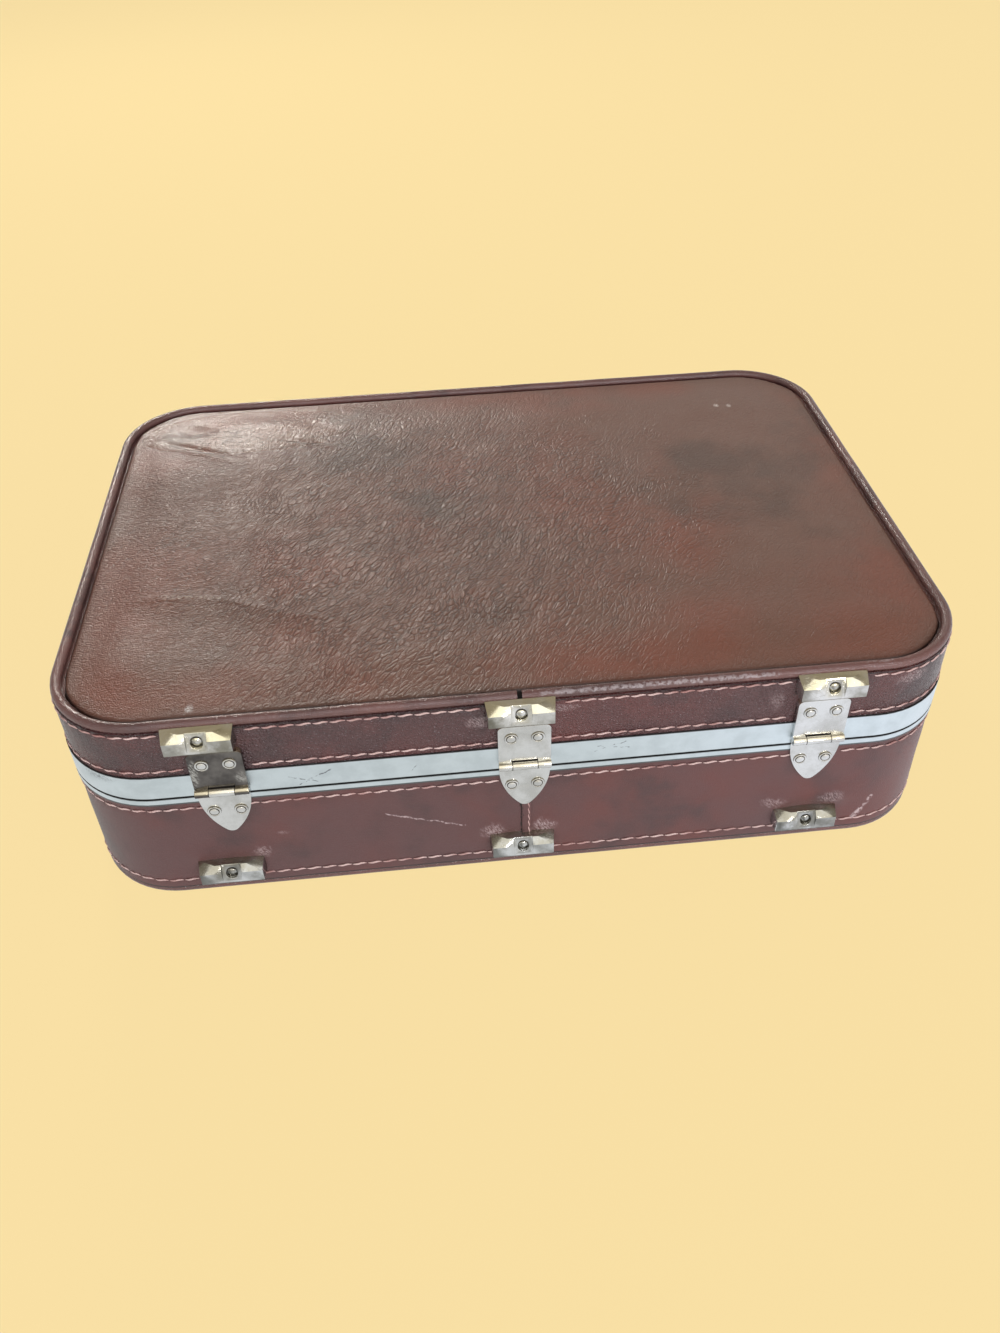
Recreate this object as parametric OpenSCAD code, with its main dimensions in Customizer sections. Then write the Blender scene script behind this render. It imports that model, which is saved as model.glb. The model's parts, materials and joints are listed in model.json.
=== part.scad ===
// Small hard travel case with an aluminium closure frame, lying flat on its base.
// X runs along the width, -Y is the hinge side, +Y the handle side, Z is up.
// The origin is the centre of the underside.

/* [Case] */
// Width of the case over its covered side walls
case_w = 500; // [400:1:600]
// Depth of the case from hinge wall to handle wall
case_d = 344; // [300:1:400]
// Plan radius of the four corners
corner_r = 52; // [44:1:60]
// Height of the base, up to its metal rim
base_h = 81; // [72:1:110]
// Height of the lid above the parting gap
lid_h = 53; // [50:1:80]
// Visible gap between the base rim and the lid band
parting_gap = 1; // [0.6:0.1:1.5]

/* [Walls] */
// Thickness of the leathercloth cover
cover_t = 1.2; // [0.8:0.1:1.6]
// Thickness of the wall boards
board_t = 4; // [3:0.1:5]
// Thickness of the cloth lining
lining_t = 0.8; // [0.5:0.1:1.2]
// Thickness of the floor and top boards
panel_board_t = 4; // [3:0.1:5]
// Thickness of the wadding under the lid panel
wadding_t = 3.3; // [2.5:0.1:4.5]
// Radius of the piping round the edges
welt_r = 3; // [2.5:0.1:3.5]
// Width of the piping's sewn flange
welt_flange_w = 6; // [4:0.1:8]
// Thickness of the piping's sewn flange
welt_flange_t = 1; // [0.6:0.1:1.4]
// Open joint between the two ends of the piping
welt_joint = 2.6; // [1:0.1:4]

/* [Closure frame] */
// How far the metal rims stand proud of the cover
rim_proud = 0.8; // [0.4:0.1:1.2]
// Thickness of the rims' horizontal web
web_t = 1.4; // [1:0.1:2]
// Height of the base rim's outer strip
strip_h = 4.6; // [3:0.1:8]
// Height of the lid's visible band
band_h = 16; // [14:0.1:20]
// Thickness of the free lower part of the band
band_t = 1.4; // [1:0.1:1.6]
// Height of the tongue that enters the lid band
tongue_h = 8; // [6:0.1:9]
// Thickness of the tongue
tongue_t = 1.4; // [1:0.1:1.6]
// Running gap between tongue and lid
tongue_gap = 0.3; // [0.2:0.05:0.6]
// Thickness of the rims' inner leg
leg_t = 1.2; // [0.8:0.1:1.6]
// Height of the base rim's inner leg
base_leg_h = 11; // [9:0.1:16]
// Height of the lid rim's inner leg
lid_leg_h = 10; // [9:0.1:14]

/* [Hinges] */
// Distance of the outer hinges from the ends of the case
hinge_end_gap = 87; // [80:1:130]
// Sideways place of the middle hinge
hinge_shift = 1.8; // [0:0.1:4]
// Width of a hinge leaf
leaf_w = 28.7; // [24:0.1:34]
// Height of the pin above the base rim
pin_rise = 5.8; // [5:0.1:7]
// Distance of the pin in front of the cover
pin_proud = 4; // [3.9:0.1:4.6]
// Radius of the pin
pin_r = 1.1; // [0.8:0.05:1.3]
// Radius of the barrel
barrel_r = 2.6; // [2.3:0.1:2.8]
// Width of the middle knuckle
knuckle_w = 13.6; // [10:0.1:16]
// Gap between knuckles
knuckle_gap = 0.2; // [0.1:0.05:0.4]
// Radial clearance of a pin in its bore
pin_clear = 0.05; // [0.02:0.01:0.1]
// How far the boxed lid leaf stands proud
lid_leaf_proud = 3.6; // [3.2:0.1:3.8]
// Sheet thickness of the lid leaf
leaf_t = 1.2; // [0.8:0.1:1.5]
// Height of the lid leaf above the pin
lid_leaf_h = 28.8; // [26:0.1:31]
// Corner radius of the lid leaf
lid_leaf_r = 3; // [1:0.1:5]
// How far the base leaf stands proud
base_leaf_proud = 2.3; // [2:0.1:2.4]
// Length of the base leaf below the pin
base_leaf_h = 33.6; // [30:0.1:40]
// Radius of the base leaf's tip
leaf_tip_r = 4; // [2:0.1:6]
// Distance between a leaf's two rivets
leaf_rivet_pitch = 14.5; // [12:0.1:16]
// Height of the lid leaf's rivets above the pin
lid_rivet_rise = 20.4; // [18:0.1:22]
// Depth of the base leaf's rivets below the pin
base_rivet_drop = 16.6; // [15:0.1:19]
// Opening angle of the lid, where the stays stop it
lid_open_deg = 95; // [80:1:95]

/* [Fasteners] */
// Head radius of the hinge rivets
rivet_head_r = 3.4; // [2.8:0.1:3.6]
// Head height of the hinge rivets
rivet_head_h = 1.4; // [0.8:0.1:1.8]
// Shank radius of every rivet and screw
shank_r = 1.5; // [1.2:0.1:1.6]
// Head radius of the small plate rivets
small_head_r = 2.6; // [2.2:0.1:3]
// Head height of the small plate rivets
small_head_h = 0.9; // [0.6:0.1:1.2]
// Clearance of a shank in its hole
shank_clear = 0.05; // [0.02:0.01:0.1]

/* [Feet] */
// Distance of the outer feet from the ends of the case
foot_end_gap = 83; // [75:1:120]
// Width of a foot at the wall
foot_w = 37.5; // [30:0.1:44]
// Width of a foot at its front
foot_front_w = 35.2; // [28:0.1:42]
// Height of a foot at the wall
foot_h = 12.3; // [11:0.1:14]
// How far a foot stands proud
foot_proud = 8; // [7.5:0.1:10]
// Height of a foot's front face
foot_face_h = 8.2; // [7:0.1:9]
// Width of the ridge behind the screw pad
foot_ridge_w = 17.4; // [15:0.1:20]
// Distance of the ridge from the wall
foot_ridge_proud = 5; // [4:0.1:6]
// Width of the sloping screw pad
pad_w = 11; // [9:0.1:13]
// Height of the screw in a foot
foot_screw_rise = 6.3; // [6:0.1:6.8]
// Head radius of the foot screws
screw_head_r = 3.1; // [2.5:0.1:3.3]
// Seat of the screw head above the wall
screw_seat = 5; // [4.6:0.1:5.3]
// Head height of the foot screws
screw_head_h = 1.4; // [1:0.1:1.6]
// Height of the base feet above the underside
base_foot_rise = 15.4; // [12:0.1:24]
// Distance of the lid feet below the lid top
lid_foot_drop = 2.6; // [2:0.1:4]

/* [Latches] */
// Gap between each lock case and the handle bracket beside it
latch_gap = 0.9; // [0.5:0.1:20]
// Half width of the lock case's flanges
lock_flange_w = 33; // [32:0.1:38]
// Half width of the lock case's raised box
lock_box_w = 26; // [25.5:0.1:28]
// Height of the lock case
lock_h = 22.6; // [20:0.1:26]
// Gap between the lock case and the base rim
lock_gap = 0.8; // [0.4:0.1:2]
// How far the lock case stands proud
lock_proud = 4.2; // [4:0.1:4.4]
// Sheet thickness of the lock case
lock_t = 1; // [0.8:0.1:1.1]
// Depth of the bolt below the lock case's top
bolt_drop = 3.8; // [3.6:0.1:5]
// Distance of the bolt from the wall
bolt_proud = 2.6; // [2.5:0.05:2.7]
// Radius of the bolt
bolt_r = 1.25; // [1:0.05:1.3]
// Travel of the bolt
bolt_travel = 8; // [7:0.1:8.5]
// Place of the thumb button from the latch's middle
button_x = 21.5; // [21:0.1:22]
// Height of the thumb button
button_h = 9; // [7:0.1:10]
// Width of the thumb button
button_w = 5; // [4:0.1:6]
// How far the thumb button stands off the lock case
button_proud = 2.8; // [2:0.1:3.5]
// Height of the hasp's pin above the lid band
hasp_pin_rise = 22; // [20:0.1:24]
// Distance of the hasp's pin from the wall
hasp_pin_proud = 4.4; // [4.2:0.1:4.6]
// Half width of the hasp
hasp_half_w = 9; // [8.5:0.1:9.5]
// Thickness of the hasp
hasp_t = 1.4; // [1:0.1:1.8]
// Gap between the hasp and the lock case
hasp_gap = 0.4; // [0.3:0.1:0.6]
// How far the hasp reaches below its staple
hasp_tail = 8; // [6:0.1:10]
// Half width of the hasp plate
hasp_plate_w = 13; // [12:0.1:15]
// Thickness of the hasp plate
hasp_plate_t = 1.4; // [1:0.1:1.6]
// Half width of the hasp's knuckle
hasp_knuckle_w = 8; // [7:0.1:8.4]
// Half width of the staple
staple_w = 2.5; // [2:0.1:2.6]
// Radius of the staple's eye
staple_eye_r = 1.6; // [1.5:0.05:1.7]
// Opening angle of the hasp
hasp_open_deg = 110; // [90:1:120]

/* [Handle] */
// Length of the grip
grip_l = 90; // [80:1:100]
// Radius of the grip
grip_r = 8; // [7:0.1:8.5]
// Radius of the grip's rounded ends
grip_end_r = 3; // [2:0.1:4]
// Radius of the steel bail
bail_r = 2.5; // [2:0.1:3]
// Straight length of the bail at each end of the grip
bail_end_l = 2; // [1:0.1:4]
// Bend radius at the grip's ends
bail_bend_r = 10; // [8:0.1:12]
// Bend radius at the pivots
pivot_bend_r = 5; // [4:0.1:6]
// Drop from the pivots to the grip
handle_drop = 30; // [28:0.1:32]
// Height of the pivots
handle_z = 50; // [45:0.1:54]
// Distance of the pivots from the wall
handle_proud = 10; // [9.8:0.1:11]
// Width of a bracket's ear
ear_w = 5; // [4:0.1:6]
// Width of a bracket's plate
bracket_w = 16; // [14:0.1:20]
// Height of a bracket's plate
bracket_h = 28; // [26:0.1:32]
// Thickness of a bracket's plate
bracket_t = 1.6; // [1.2:0.1:2]

/* [Lid stays] */
// Gap below a stay arm's lower end when the lid is shut
stay_floor_gap = 0.7; // [0.5:0.1:3]
// Outer face of the stay arms, from the side wall's cover
stay_inset = 17.5; // [17:0.1:20]
// Thickness of a stay arm
stay_t = 1.5; // [1.2:0.1:2]
// Width of a stay arm
stay_w = 6.4; // [6:0.1:7]
// Radius of the stay's pivot and stud
stud_r = 1.9; // [1.7:0.05:2]
// Radius of their shoulders and heads
stud_head_r = 3.2; // [2.8:0.1:3.4]
// Clearance of the stud at the slot's sides
slot_clear = 0.1; // [0.05:0.01:0.2]
// Clearance of the stud at the slot's ends
slot_end_clear = 0.3; // [0.2:0.05:0.6]
// Metal left beyond the slot's lower end
stay_end_w = 2.2; // [1.8:0.1:3]

/* [Hidden] */
$fn = 64;
eps = 0.01;
tip_lap = 0.5;
face_clear = 0.3;

cover_colour = "#55282a";
welt_colour = "#4c2226";
metal_colour = "#b9bcbe";
frame_colour = "#ccd6da";
board_colour = "#a98a60";
lining_colour = "#8c7a66";
wadding_colour = "#d9d2c4";
grip_colour = "#3d1c1e";

// Insets from the outside of the cover
board_in = cover_t;
lining_in = board_in + board_t;
leg_in = lining_in + lining_t;
clear_in = leg_in + leg_t;
welt_in = 2 * welt_r;
flange_in = welt_r + welt_flange_w;

// Heights in the base
welt_z = welt_r + 0.2;
floor_seat_z = cover_t;
base_flange_z = welt_z + welt_r - welt_flange_t;
base_wall_z = welt_z + welt_r;
base_web_z = base_h - web_t;
strip_z = base_h - strip_h;
tongue_top_z = base_h + tongue_h;

// Heights in the lid
lid_z = base_h + parting_gap;
top_z = lid_z + lid_h;
lid_web_z = tongue_top_z + tongue_gap;
lid_wall_z = lid_web_z + web_t;
band_top_z = lid_z + band_h;
lid_welt_z = top_z - welt_r;
lid_wall_top_z = lid_welt_z - welt_r;
lid_board_z = lid_wall_top_z - panel_board_t;
panel_z = lid_wall_top_z + wadding_t;

// The wall cover ends where it meets the piping's curve
cover_lap = welt_r - sqrt(pow(welt_r, 2) - pow(welt_r - cover_t, 2));

// Hinge pin line
pin_y = -case_d / 2 - pin_proud;
pin_z = base_h + pin_rise;
hinge_pitch = case_w / 2 - hinge_end_gap;
foot_pitch = case_w / 2 - foot_end_gap;
hinge_x = [for (i = [-1:1]) hinge_shift + i * hinge_pitch];
foot_x = [for (i = [-1:1]) i * foot_pitch];
base_leaf_top_z = pin_z - barrel_r - 0.5;
lid_foot_z = top_z - lid_foot_drop - foot_h;

// Handle
grip_z = handle_z - handle_drop;
bail_x = grip_l / 2 + bail_end_l + bail_bend_r;
ear_x = bail_x + pivot_bend_r + 0.6;
bracket_x = ear_x + ear_w / 2;
bracket_rivet_rise = bracket_h / 2 - 4;
ear_r = bail_r + 2.2;

// Latch
latch_x = bracket_x + bracket_w / 2 + latch_gap + lock_flange_w;
lock_top_z = strip_z - lock_gap;
lock_z = lock_top_z - lock_h;
bolt_z = lock_top_z - bolt_drop;
bolt_tip_x = staple_w + 1.3;
notch_w = staple_w + 0.6;
staple_h = 2 * staple_eye_r + 2.8;
hasp_back = lock_proud + hasp_gap;
hasp_pin_z = band_top_z + hasp_pin_rise;
lock_rivet_x = (lock_flange_w + lock_box_w) / 2;
lock_rivet_rise = 4;
plate_rivet_x = hasp_plate_w - 6;
plate_rivet_rise = 8;
plate_z = band_top_z + 2;
guide_end_x = button_x - bolt_travel - button_w / 2 - 0.6;

// Lid stays: the pivot on the lid and the stud on the base lie equally far from the
// hinge pin, so the arm turns half as far as the lid and its slot stays on the stud.
stud_z = base_web_z - base_leg_h / 2;
pivot_z = lid_wall_z + lid_leg_h / 2;
stay_end_l = stud_r + slot_end_clear + stay_end_w;
stay_room = pivot_z - base_wall_z - lining_t - stay_floor_gap - stay_end_l;

// Distance from pivot to stud, with both at a reach from the hinge pin and the lid turned
function stay_span(reach, turn) =
    2 * reach * sin((asin((pin_z - stud_z) / reach) + asin((pivot_z - pin_z) / reach) + turn) / 2);

// The reach at which the slotted arm just fits in the shut case
function fitted_reach(reach, steps) =
    steps == 0 ? reach
    : fitted_reach(reach * stay_room / stay_span(reach, lid_open_deg), steps - 1);

stay_reach = fitted_reach(stay_room / 2, 12);
stud_y = pin_y + sqrt(pow(stay_reach, 2) - pow(pin_z - stud_z, 2));
pivot_y = pin_y + sqrt(pow(stay_reach, 2) - pow(pivot_z - pin_z, 2));
closed_span = stay_span(stay_reach, 0);
open_span = stay_span(stay_reach, lid_open_deg);
stay_lean = atan2(pivot_y - stud_y, pivot_z - stud_z);
stay_x = case_w / 2 - stay_inset;
stay_anchor_depth = 4.6;

// Half width of the case at a depth y beyond the straight side, at an inset
function side_wall_x(y, inset) =
    case_w / 2 - corner_r
    + sqrt(pow(corner_r - inset, 2) - pow(max(0, abs(y) - case_d / 2 + corner_r), 2));

// Plan outline of the case, drawn in by an inset
module outline(inset) {
    w = case_w - 2 * inset;
    d = case_d - 2 * inset;
    r = corner_r - inset;
    square([w - 2 * r, d], center = true);
    square([w, d - 2 * r], center = true);
    for (sx = [-1, 1])
        for (sy = [-1, 1])
            translate([sx * (w / 2 - r), sy * (d / 2 - r)])
                circle(r = r);
}

// A flat plate that follows the outline
module slab(inset, z0, z1) {
    translate([0, 0, z0])
        linear_extrude(z1 - z0)
            outline(inset);
}

// An upright wall that follows the outline
module ring(outer_in, inner_in, z0, z1) {
    translate([0, 0, z0])
        linear_extrude(z1 - z0)
            difference() {
                outline(outer_in);
                outline(inner_in);
            }
}

// Places its children on the hinge wall, with +Y pointing away from the wall
module on_hinge_wall(x, z) {
    translate([x, -case_d / 2, z])
        mirror([0, 1, 0])
            children();
}

// Places its children on the handle wall, with +Y pointing away from the wall
module on_handle_wall(x, z) {
    translate([x, case_d / 2, z])
        children();
}

// A round rod along X from x0 to x1
module rod_x(r, x0, x1) {
    translate([x0, 0, 0])
        rotate([0, 90, 0])
            cylinder(r = r, h = x1 - x0);
}

// A round rod along Y from y0 to y1
module rod_y(r, y0, y1) {
    translate([0, y0, 0])
        rotate([-90, 0, 0])
            cylinder(r = r, h = y1 - y0);
}

// A domed fastener along Y, its head on the seat and its shank through the wall board
module fastener(seat, head_r, head_h) {
    dome_r = (pow(head_r, 2) + pow(head_h, 2)) / (2 * head_h);
    rod_y(shank_r, -lining_in, seat + eps);
    intersection() {
        translate([0, seat + head_h - dome_r, 0])
            sphere(r = dome_r);
        rod_y(head_r, seat, seat + head_h);
    }
}

// The hole that a fastener needs in whatever it passes through
module fastener_bore() {
    rod_y(shank_r + shank_clear, -lining_in - eps, foot_proud + 1);
}

// The piping round one edge, with the flange that is sewn in behind it
module piping(z, flange_z) {
    straight_x = case_w - 2 * corner_r;
    straight_y = case_d - 2 * corner_r;
    for (side = [-1, 1]) {
        translate([0, side * (case_d / 2 - welt_r), z])
            rod_x(welt_r, -straight_x / 2, straight_x / 2);
        translate([side * (case_w / 2 - welt_r), 0, z])
            rod_y(welt_r, -straight_y / 2, straight_y / 2);
    }
    for (quarter = [0:3]) {
        sx = (quarter == 0 || quarter == 3) ? 1 : -1;
        sy = (quarter < 2) ? 1 : -1;
        translate([sx * straight_x / 2, sy * straight_y / 2, z])
            rotate([0, 0, quarter * 90])
                rotate_extrude(angle = 90)
                    translate([corner_r - welt_r, 0])
                        circle(r = welt_r);
    }
    ring(welt_r, flange_in, flange_z, flange_z + welt_flange_t);
}

// Holes for everything that is riveted or screwed to the base walls
module base_fastener_bores() {
    for (x = hinge_x)
        for (side = [-1, 1])
            on_hinge_wall(x + side * leaf_rivet_pitch / 2, pin_z - base_rivet_drop)
                fastener_bore();
    for (x = foot_x)
        on_hinge_wall(x, base_foot_rise + foot_screw_rise)
            fastener_bore();
    for (side = [-1, 1]) {
        for (x = [-lock_rivet_x, lock_rivet_x])
            for (z = [lock_z + lock_rivet_rise, lock_top_z - lock_rivet_rise])
                on_handle_wall(side * latch_x + x, z)
                    fastener_bore();
        for (end = [-1, 1])
            on_handle_wall(side * bracket_x, handle_z + end * bracket_rivet_rise)
                fastener_bore();
    }
}

// Holes for everything that is riveted or screwed to the lid walls
module lid_fastener_bores() {
    for (x = hinge_x)
        for (side = [-1, 1])
            on_hinge_wall(x + side * leaf_rivet_pitch / 2, pin_z + lid_rivet_rise)
                fastener_bore();
    for (x = foot_x)
        on_hinge_wall(x, lid_foot_z + foot_screw_rise)
            fastener_bore();
    for (side = [-1, 1])
        for (x = [-plate_rivet_x, plate_rivet_x])
            on_handle_wall(side * latch_x + x, plate_z + plate_rivet_rise)
                fastener_bore();
}

// Blind holes in both side walls for a stay's stud or pivot
module stay_bores(y, z) {
    for (side = [-1, 1])
        translate([side * (case_w / 2 - stay_anchor_depth), y, z])
            rotate([0, -side * 90, 0])
                cylinder(r = stud_r + shank_clear, h = stay_inset);
}

// Boards, covers and lining of the base
module base_wall() {
    color(board_colour)
        difference() {
            ring(board_in, lining_in, base_wall_z, base_web_z);
            base_fastener_bores();
            stay_bores(stud_y, stud_z);
        }
}

module base_floor() {
    color(board_colour)
        union() {
            slab(welt_in, floor_seat_z, base_flange_z);
            slab(flange_in, base_flange_z - eps, base_wall_z);
        }
}

module base_wall_cover() {
    color(cover_colour)
        difference() {
            ring(0, board_in, base_wall_z - cover_lap, strip_z);
            base_fastener_bores();
        }
}

module base_floor_cover() {
    color(cover_colour)
        slab(welt_in, 0, floor_seat_z);
}

module base_welt() {
    color(welt_colour)
        piping(welt_z, base_flange_z);
}

module base_lining() {
    color(lining_colour)
        difference() {
            union() {
                ring(lining_in, leg_in, base_wall_z, base_web_z);
                slab(lining_in, base_wall_z, base_wall_z + lining_t);
            }
            stay_bores(stud_y, stud_z);
        }
}

// Metal rim of the base, with the tongue that enters the lid band
module base_frame() {
    tongue_in = clear_in - tongue_t;
    color(frame_colour)
        difference() {
            union() {
                ring(-rim_proud, board_in, strip_z, base_h);
                ring(-rim_proud, clear_in, base_web_z, base_h);
                ring(leg_in, clear_in, base_web_z - base_leg_h, base_h);
                ring(tongue_in - tongue_t, tongue_in, base_web_z, tongue_top_z);
            }
            stay_bores(stud_y, stud_z);
        }
}

// Boards, wadding, covers and lining of the lid
module lid_wall() {
    color(board_colour)
        difference() {
            ring(board_in, lining_in, lid_wall_z, lid_wall_top_z);
            lid_fastener_bores();
            stay_bores(pivot_y, pivot_z);
        }
}

module lid_top() {
    color(board_colour)
        slab(lining_in, lid_board_z, lid_wall_top_z);
}

module lid_padding() {
    color(wadding_colour)
        union() {
            slab(flange_in, lid_wall_top_z, lid_wall_top_z + welt_flange_t + eps);
            slab(welt_in, lid_wall_top_z + welt_flange_t, panel_z);
        }
}

module lid_wall_cover() {
    color(cover_colour)
        difference() {
            ring(0, board_in, band_top_z, lid_wall_top_z + cover_lap);
            lid_fastener_bores();
        }
}

module lid_panel_cover() {
    color(cover_colour)
        slab(welt_in, panel_z, panel_z + cover_t);
}

module lid_welt() {
    color(welt_colour)
        difference() {
            piping(lid_welt_z, lid_wall_top_z);
            translate([-welt_joint / 2, -case_d / 2 - 1, lid_wall_top_z + welt_flange_t])
                cube([welt_joint, welt_in + 1, 2 * welt_r]);
        }
}

module lid_lining() {
    color(lining_colour)
        difference() {
            union() {
                ring(lining_in, leg_in, lid_wall_z, lid_board_z);
                slab(lining_in, lid_board_z - lining_t, lid_board_z);
            }
            stay_bores(pivot_y, pivot_z);
        }
}

// Metal rim of the lid, with the wide band that shows outside
module lid_frame() {
    color(frame_colour)
        difference() {
            union() {
                ring(-rim_proud, band_t - rim_proud, lid_z, lid_wall_z);
                ring(-rim_proud, board_in, lid_web_z, band_top_z);
                ring(-rim_proud, clear_in, lid_web_z, lid_wall_z);
                ring(leg_in, clear_in, lid_web_z, lid_wall_z + lid_leg_h);
            }
            stay_bores(pivot_y, pivot_z);
        }
}

// Boxed lid leaf: a front plate with returned edges and the two outer knuckles
module hinge_lid_leaf(x) {
    top = lid_leaf_h;
    foot = barrel_r + 0.4;
    slot_w = knuckle_w + 2 * knuckle_gap;
    color(metal_colour)
        on_hinge_wall(x, pin_z)
            difference() {
                union() {
                    difference() {
                        rotate([90, 0, 180])
                            linear_extrude(lid_leaf_proud)
                                lid_leaf_outline(foot, top);
                        translate([-leaf_w / 2 + leaf_t, -eps, foot + leaf_t])
                            cube([leaf_w - 2 * leaf_t, lid_leaf_proud - leaf_t, top - foot - 2 * leaf_t]);
                        translate([-leaf_w, -eps, 0])
                            cube([2 * leaf_w, rim_proud + eps, band_top_z - pin_z]);
                    }
                    for (side = [-1, 1]) {
                        lug_w = (leaf_w - slot_w) / 2;
                        translate([side * (slot_w + lug_w) / 2, pin_proud, 0])
                            rod_x(barrel_r, -lug_w / 2, lug_w / 2);
                        translate([side * (slot_w + lug_w) / 2 - lug_w / 2, lid_leaf_proud - leaf_t, 0])
                            cube([lug_w, leaf_t, foot + eps]);
                    }
                }
                translate([0, pin_proud, 0])
                    rod_x(pin_r + pin_clear, -leaf_w, leaf_w);
                for (side = [-1, 1])
                    translate([side * leaf_rivet_pitch / 2, 0, lid_rivet_rise])
                        fastener_bore();
            }
}

// Front view of the lid leaf, with rounded upper corners
module lid_leaf_outline(foot, top) {
    r = lid_leaf_r;
    translate([-leaf_w / 2, foot])
        square([leaf_w, top - foot - r]);
    translate([-leaf_w / 2 + r, foot])
        square([leaf_w - 2 * r, top - foot]);
    for (side = [-1, 1])
        translate([side * (leaf_w / 2 - r), top - r])
            circle(r = r);
}

// Front view of the base leaf: two large arcs that meet in a rounded tip.
// The origin is on the pin's height.
module base_leaf_outline() {
    hw = leaf_w / 2 - 0.3;
    shoulder = pin_z - base_leaf_top_z + 1.5;
    d = base_leaf_h - shoulder;
    rt = leaf_tip_r;
    side_r = (pow(hw, 2) + pow(d - rt, 2) - pow(rt, 2)) / (2 * (hw - rt));
    a = side_r - hw;
    tangent = (d - rt) * side_r / (side_r - rt);
    side_depth = tangent - tip_lap;
    translate([0, -shoulder]) {
        intersection() {
            translate([-a, 0])
                circle(r = side_r, $fn = 160);
            translate([a, 0])
                circle(r = side_r, $fn = 160);
            translate([-hw, -side_depth])
                square([2 * hw, side_depth]);
        }
        translate([0, rt - d])
            circle(r = rt);
        translate([-hw, -0.2])
            square([2 * hw, shoulder + base_leaf_top_z - pin_z + 0.2]);
    }
}

// Shield-shaped base leaf with the middle knuckle
module hinge_base_leaf(x) {
    color(metal_colour)
        on_hinge_wall(x, pin_z)
            difference() {
                union() {
                    difference() {
                        rotate([90, 0, 180])
                            linear_extrude(base_leaf_proud)
                                base_leaf_outline();
                        translate([-leaf_w, -eps, strip_z - pin_z - face_clear])
                            cube([2 * leaf_w, rim_proud + eps, pin_rise + strip_h]);
                        translate([-leaf_w, -eps, base_h - pin_z])
                            cube([2 * leaf_w, rim_proud + face_clear + eps, pin_rise]);
                    }
                    translate([0, pin_proud, 0])
                        rod_x(barrel_r, -knuckle_w / 2, knuckle_w / 2);
                    translate([-knuckle_w / 2, rim_proud + face_clear, base_leaf_top_z - pin_z - 1])
                        cube([knuckle_w, base_leaf_proud - rim_proud - face_clear, 3]);
                }
                translate([0, pin_proud, 0])
                    rod_x(pin_r + pin_clear, -leaf_w, leaf_w);
                for (side = [-1, 1])
                    translate([side * leaf_rivet_pitch / 2, 0, -base_rivet_drop])
                        fastener_bore();
            }
}

module hinge_pin(x) {
    color(metal_colour)
        on_hinge_wall(x, pin_z)
            translate([0, pin_proud, 0])
                rod_x(pin_r, -leaf_w / 2, leaf_w / 2);
}

module hinge_lid_rivets() {
    color(metal_colour)
        for (x = hinge_x)
            for (side = [-1, 1])
                on_hinge_wall(x + side * leaf_rivet_pitch / 2, pin_z + lid_rivet_rise)
                    fastener(lid_leaf_proud, rivet_head_r, rivet_head_h);
}

module hinge_base_rivets() {
    color(metal_colour)
        for (x = hinge_x)
            for (side = [-1, 1])
                on_hinge_wall(x + side * leaf_rivet_pitch / 2, pin_z - base_rivet_drop)
                    fastener(base_leaf_proud, rivet_head_r, rivet_head_h);
}

// Faceted foot: two upright bearing faces with a sloping screw pad between them
module foot_body() {
    b = foot_w / 2;
    f = foot_front_w / 2;
    r = foot_ridge_w / 2;
    polyhedron(
        points = [
            [-b, 0, 0], [b, 0, 0], [b, 0, foot_h], [-b, 0, foot_h],
            [-f, foot_proud, 0], [f, foot_proud, 0],
            [f, foot_proud, foot_face_h], [-f, foot_proud, foot_face_h],
            [-r, foot_ridge_proud, foot_h], [r, foot_ridge_proud, foot_h]
        ],
        faces = [
            [3, 2, 1, 0], [0, 1, 5, 4], [4, 5, 6, 7], [7, 6, 9, 8],
            [8, 9, 2, 3], [3, 7, 8], [2, 9, 6], [3, 0, 4, 7], [1, 2, 6, 5]
        ]
    );
}

module foot(x, z) {
    pad_foot = 0.8;
    color(metal_colour)
        on_hinge_wall(x, z)
            difference() {
                foot_body();
                translate([-pad_w / 2, 0, 0])
                    rotate([90, 0, 90])
                        linear_extrude(pad_w)
                            polygon([
                                [foot_proud, pad_foot], [foot_ridge_proud - 0.4, foot_h + 0.1],
                                [foot_proud + 2, foot_h + 0.1], [foot_proud + 2, pad_foot]
                            ]);
                translate([0, 0, foot_screw_rise]) {
                    fastener_bore();
                    rod_y(screw_head_r + 0.2, screw_seat, foot_proud + 1);
                }
            }
}

module foot_screws(z) {
    color(metal_colour)
        for (x = foot_x)
            on_hinge_wall(x, z + foot_screw_rise)
                fastener(screw_seat, screw_head_r, screw_head_h);
}

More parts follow.
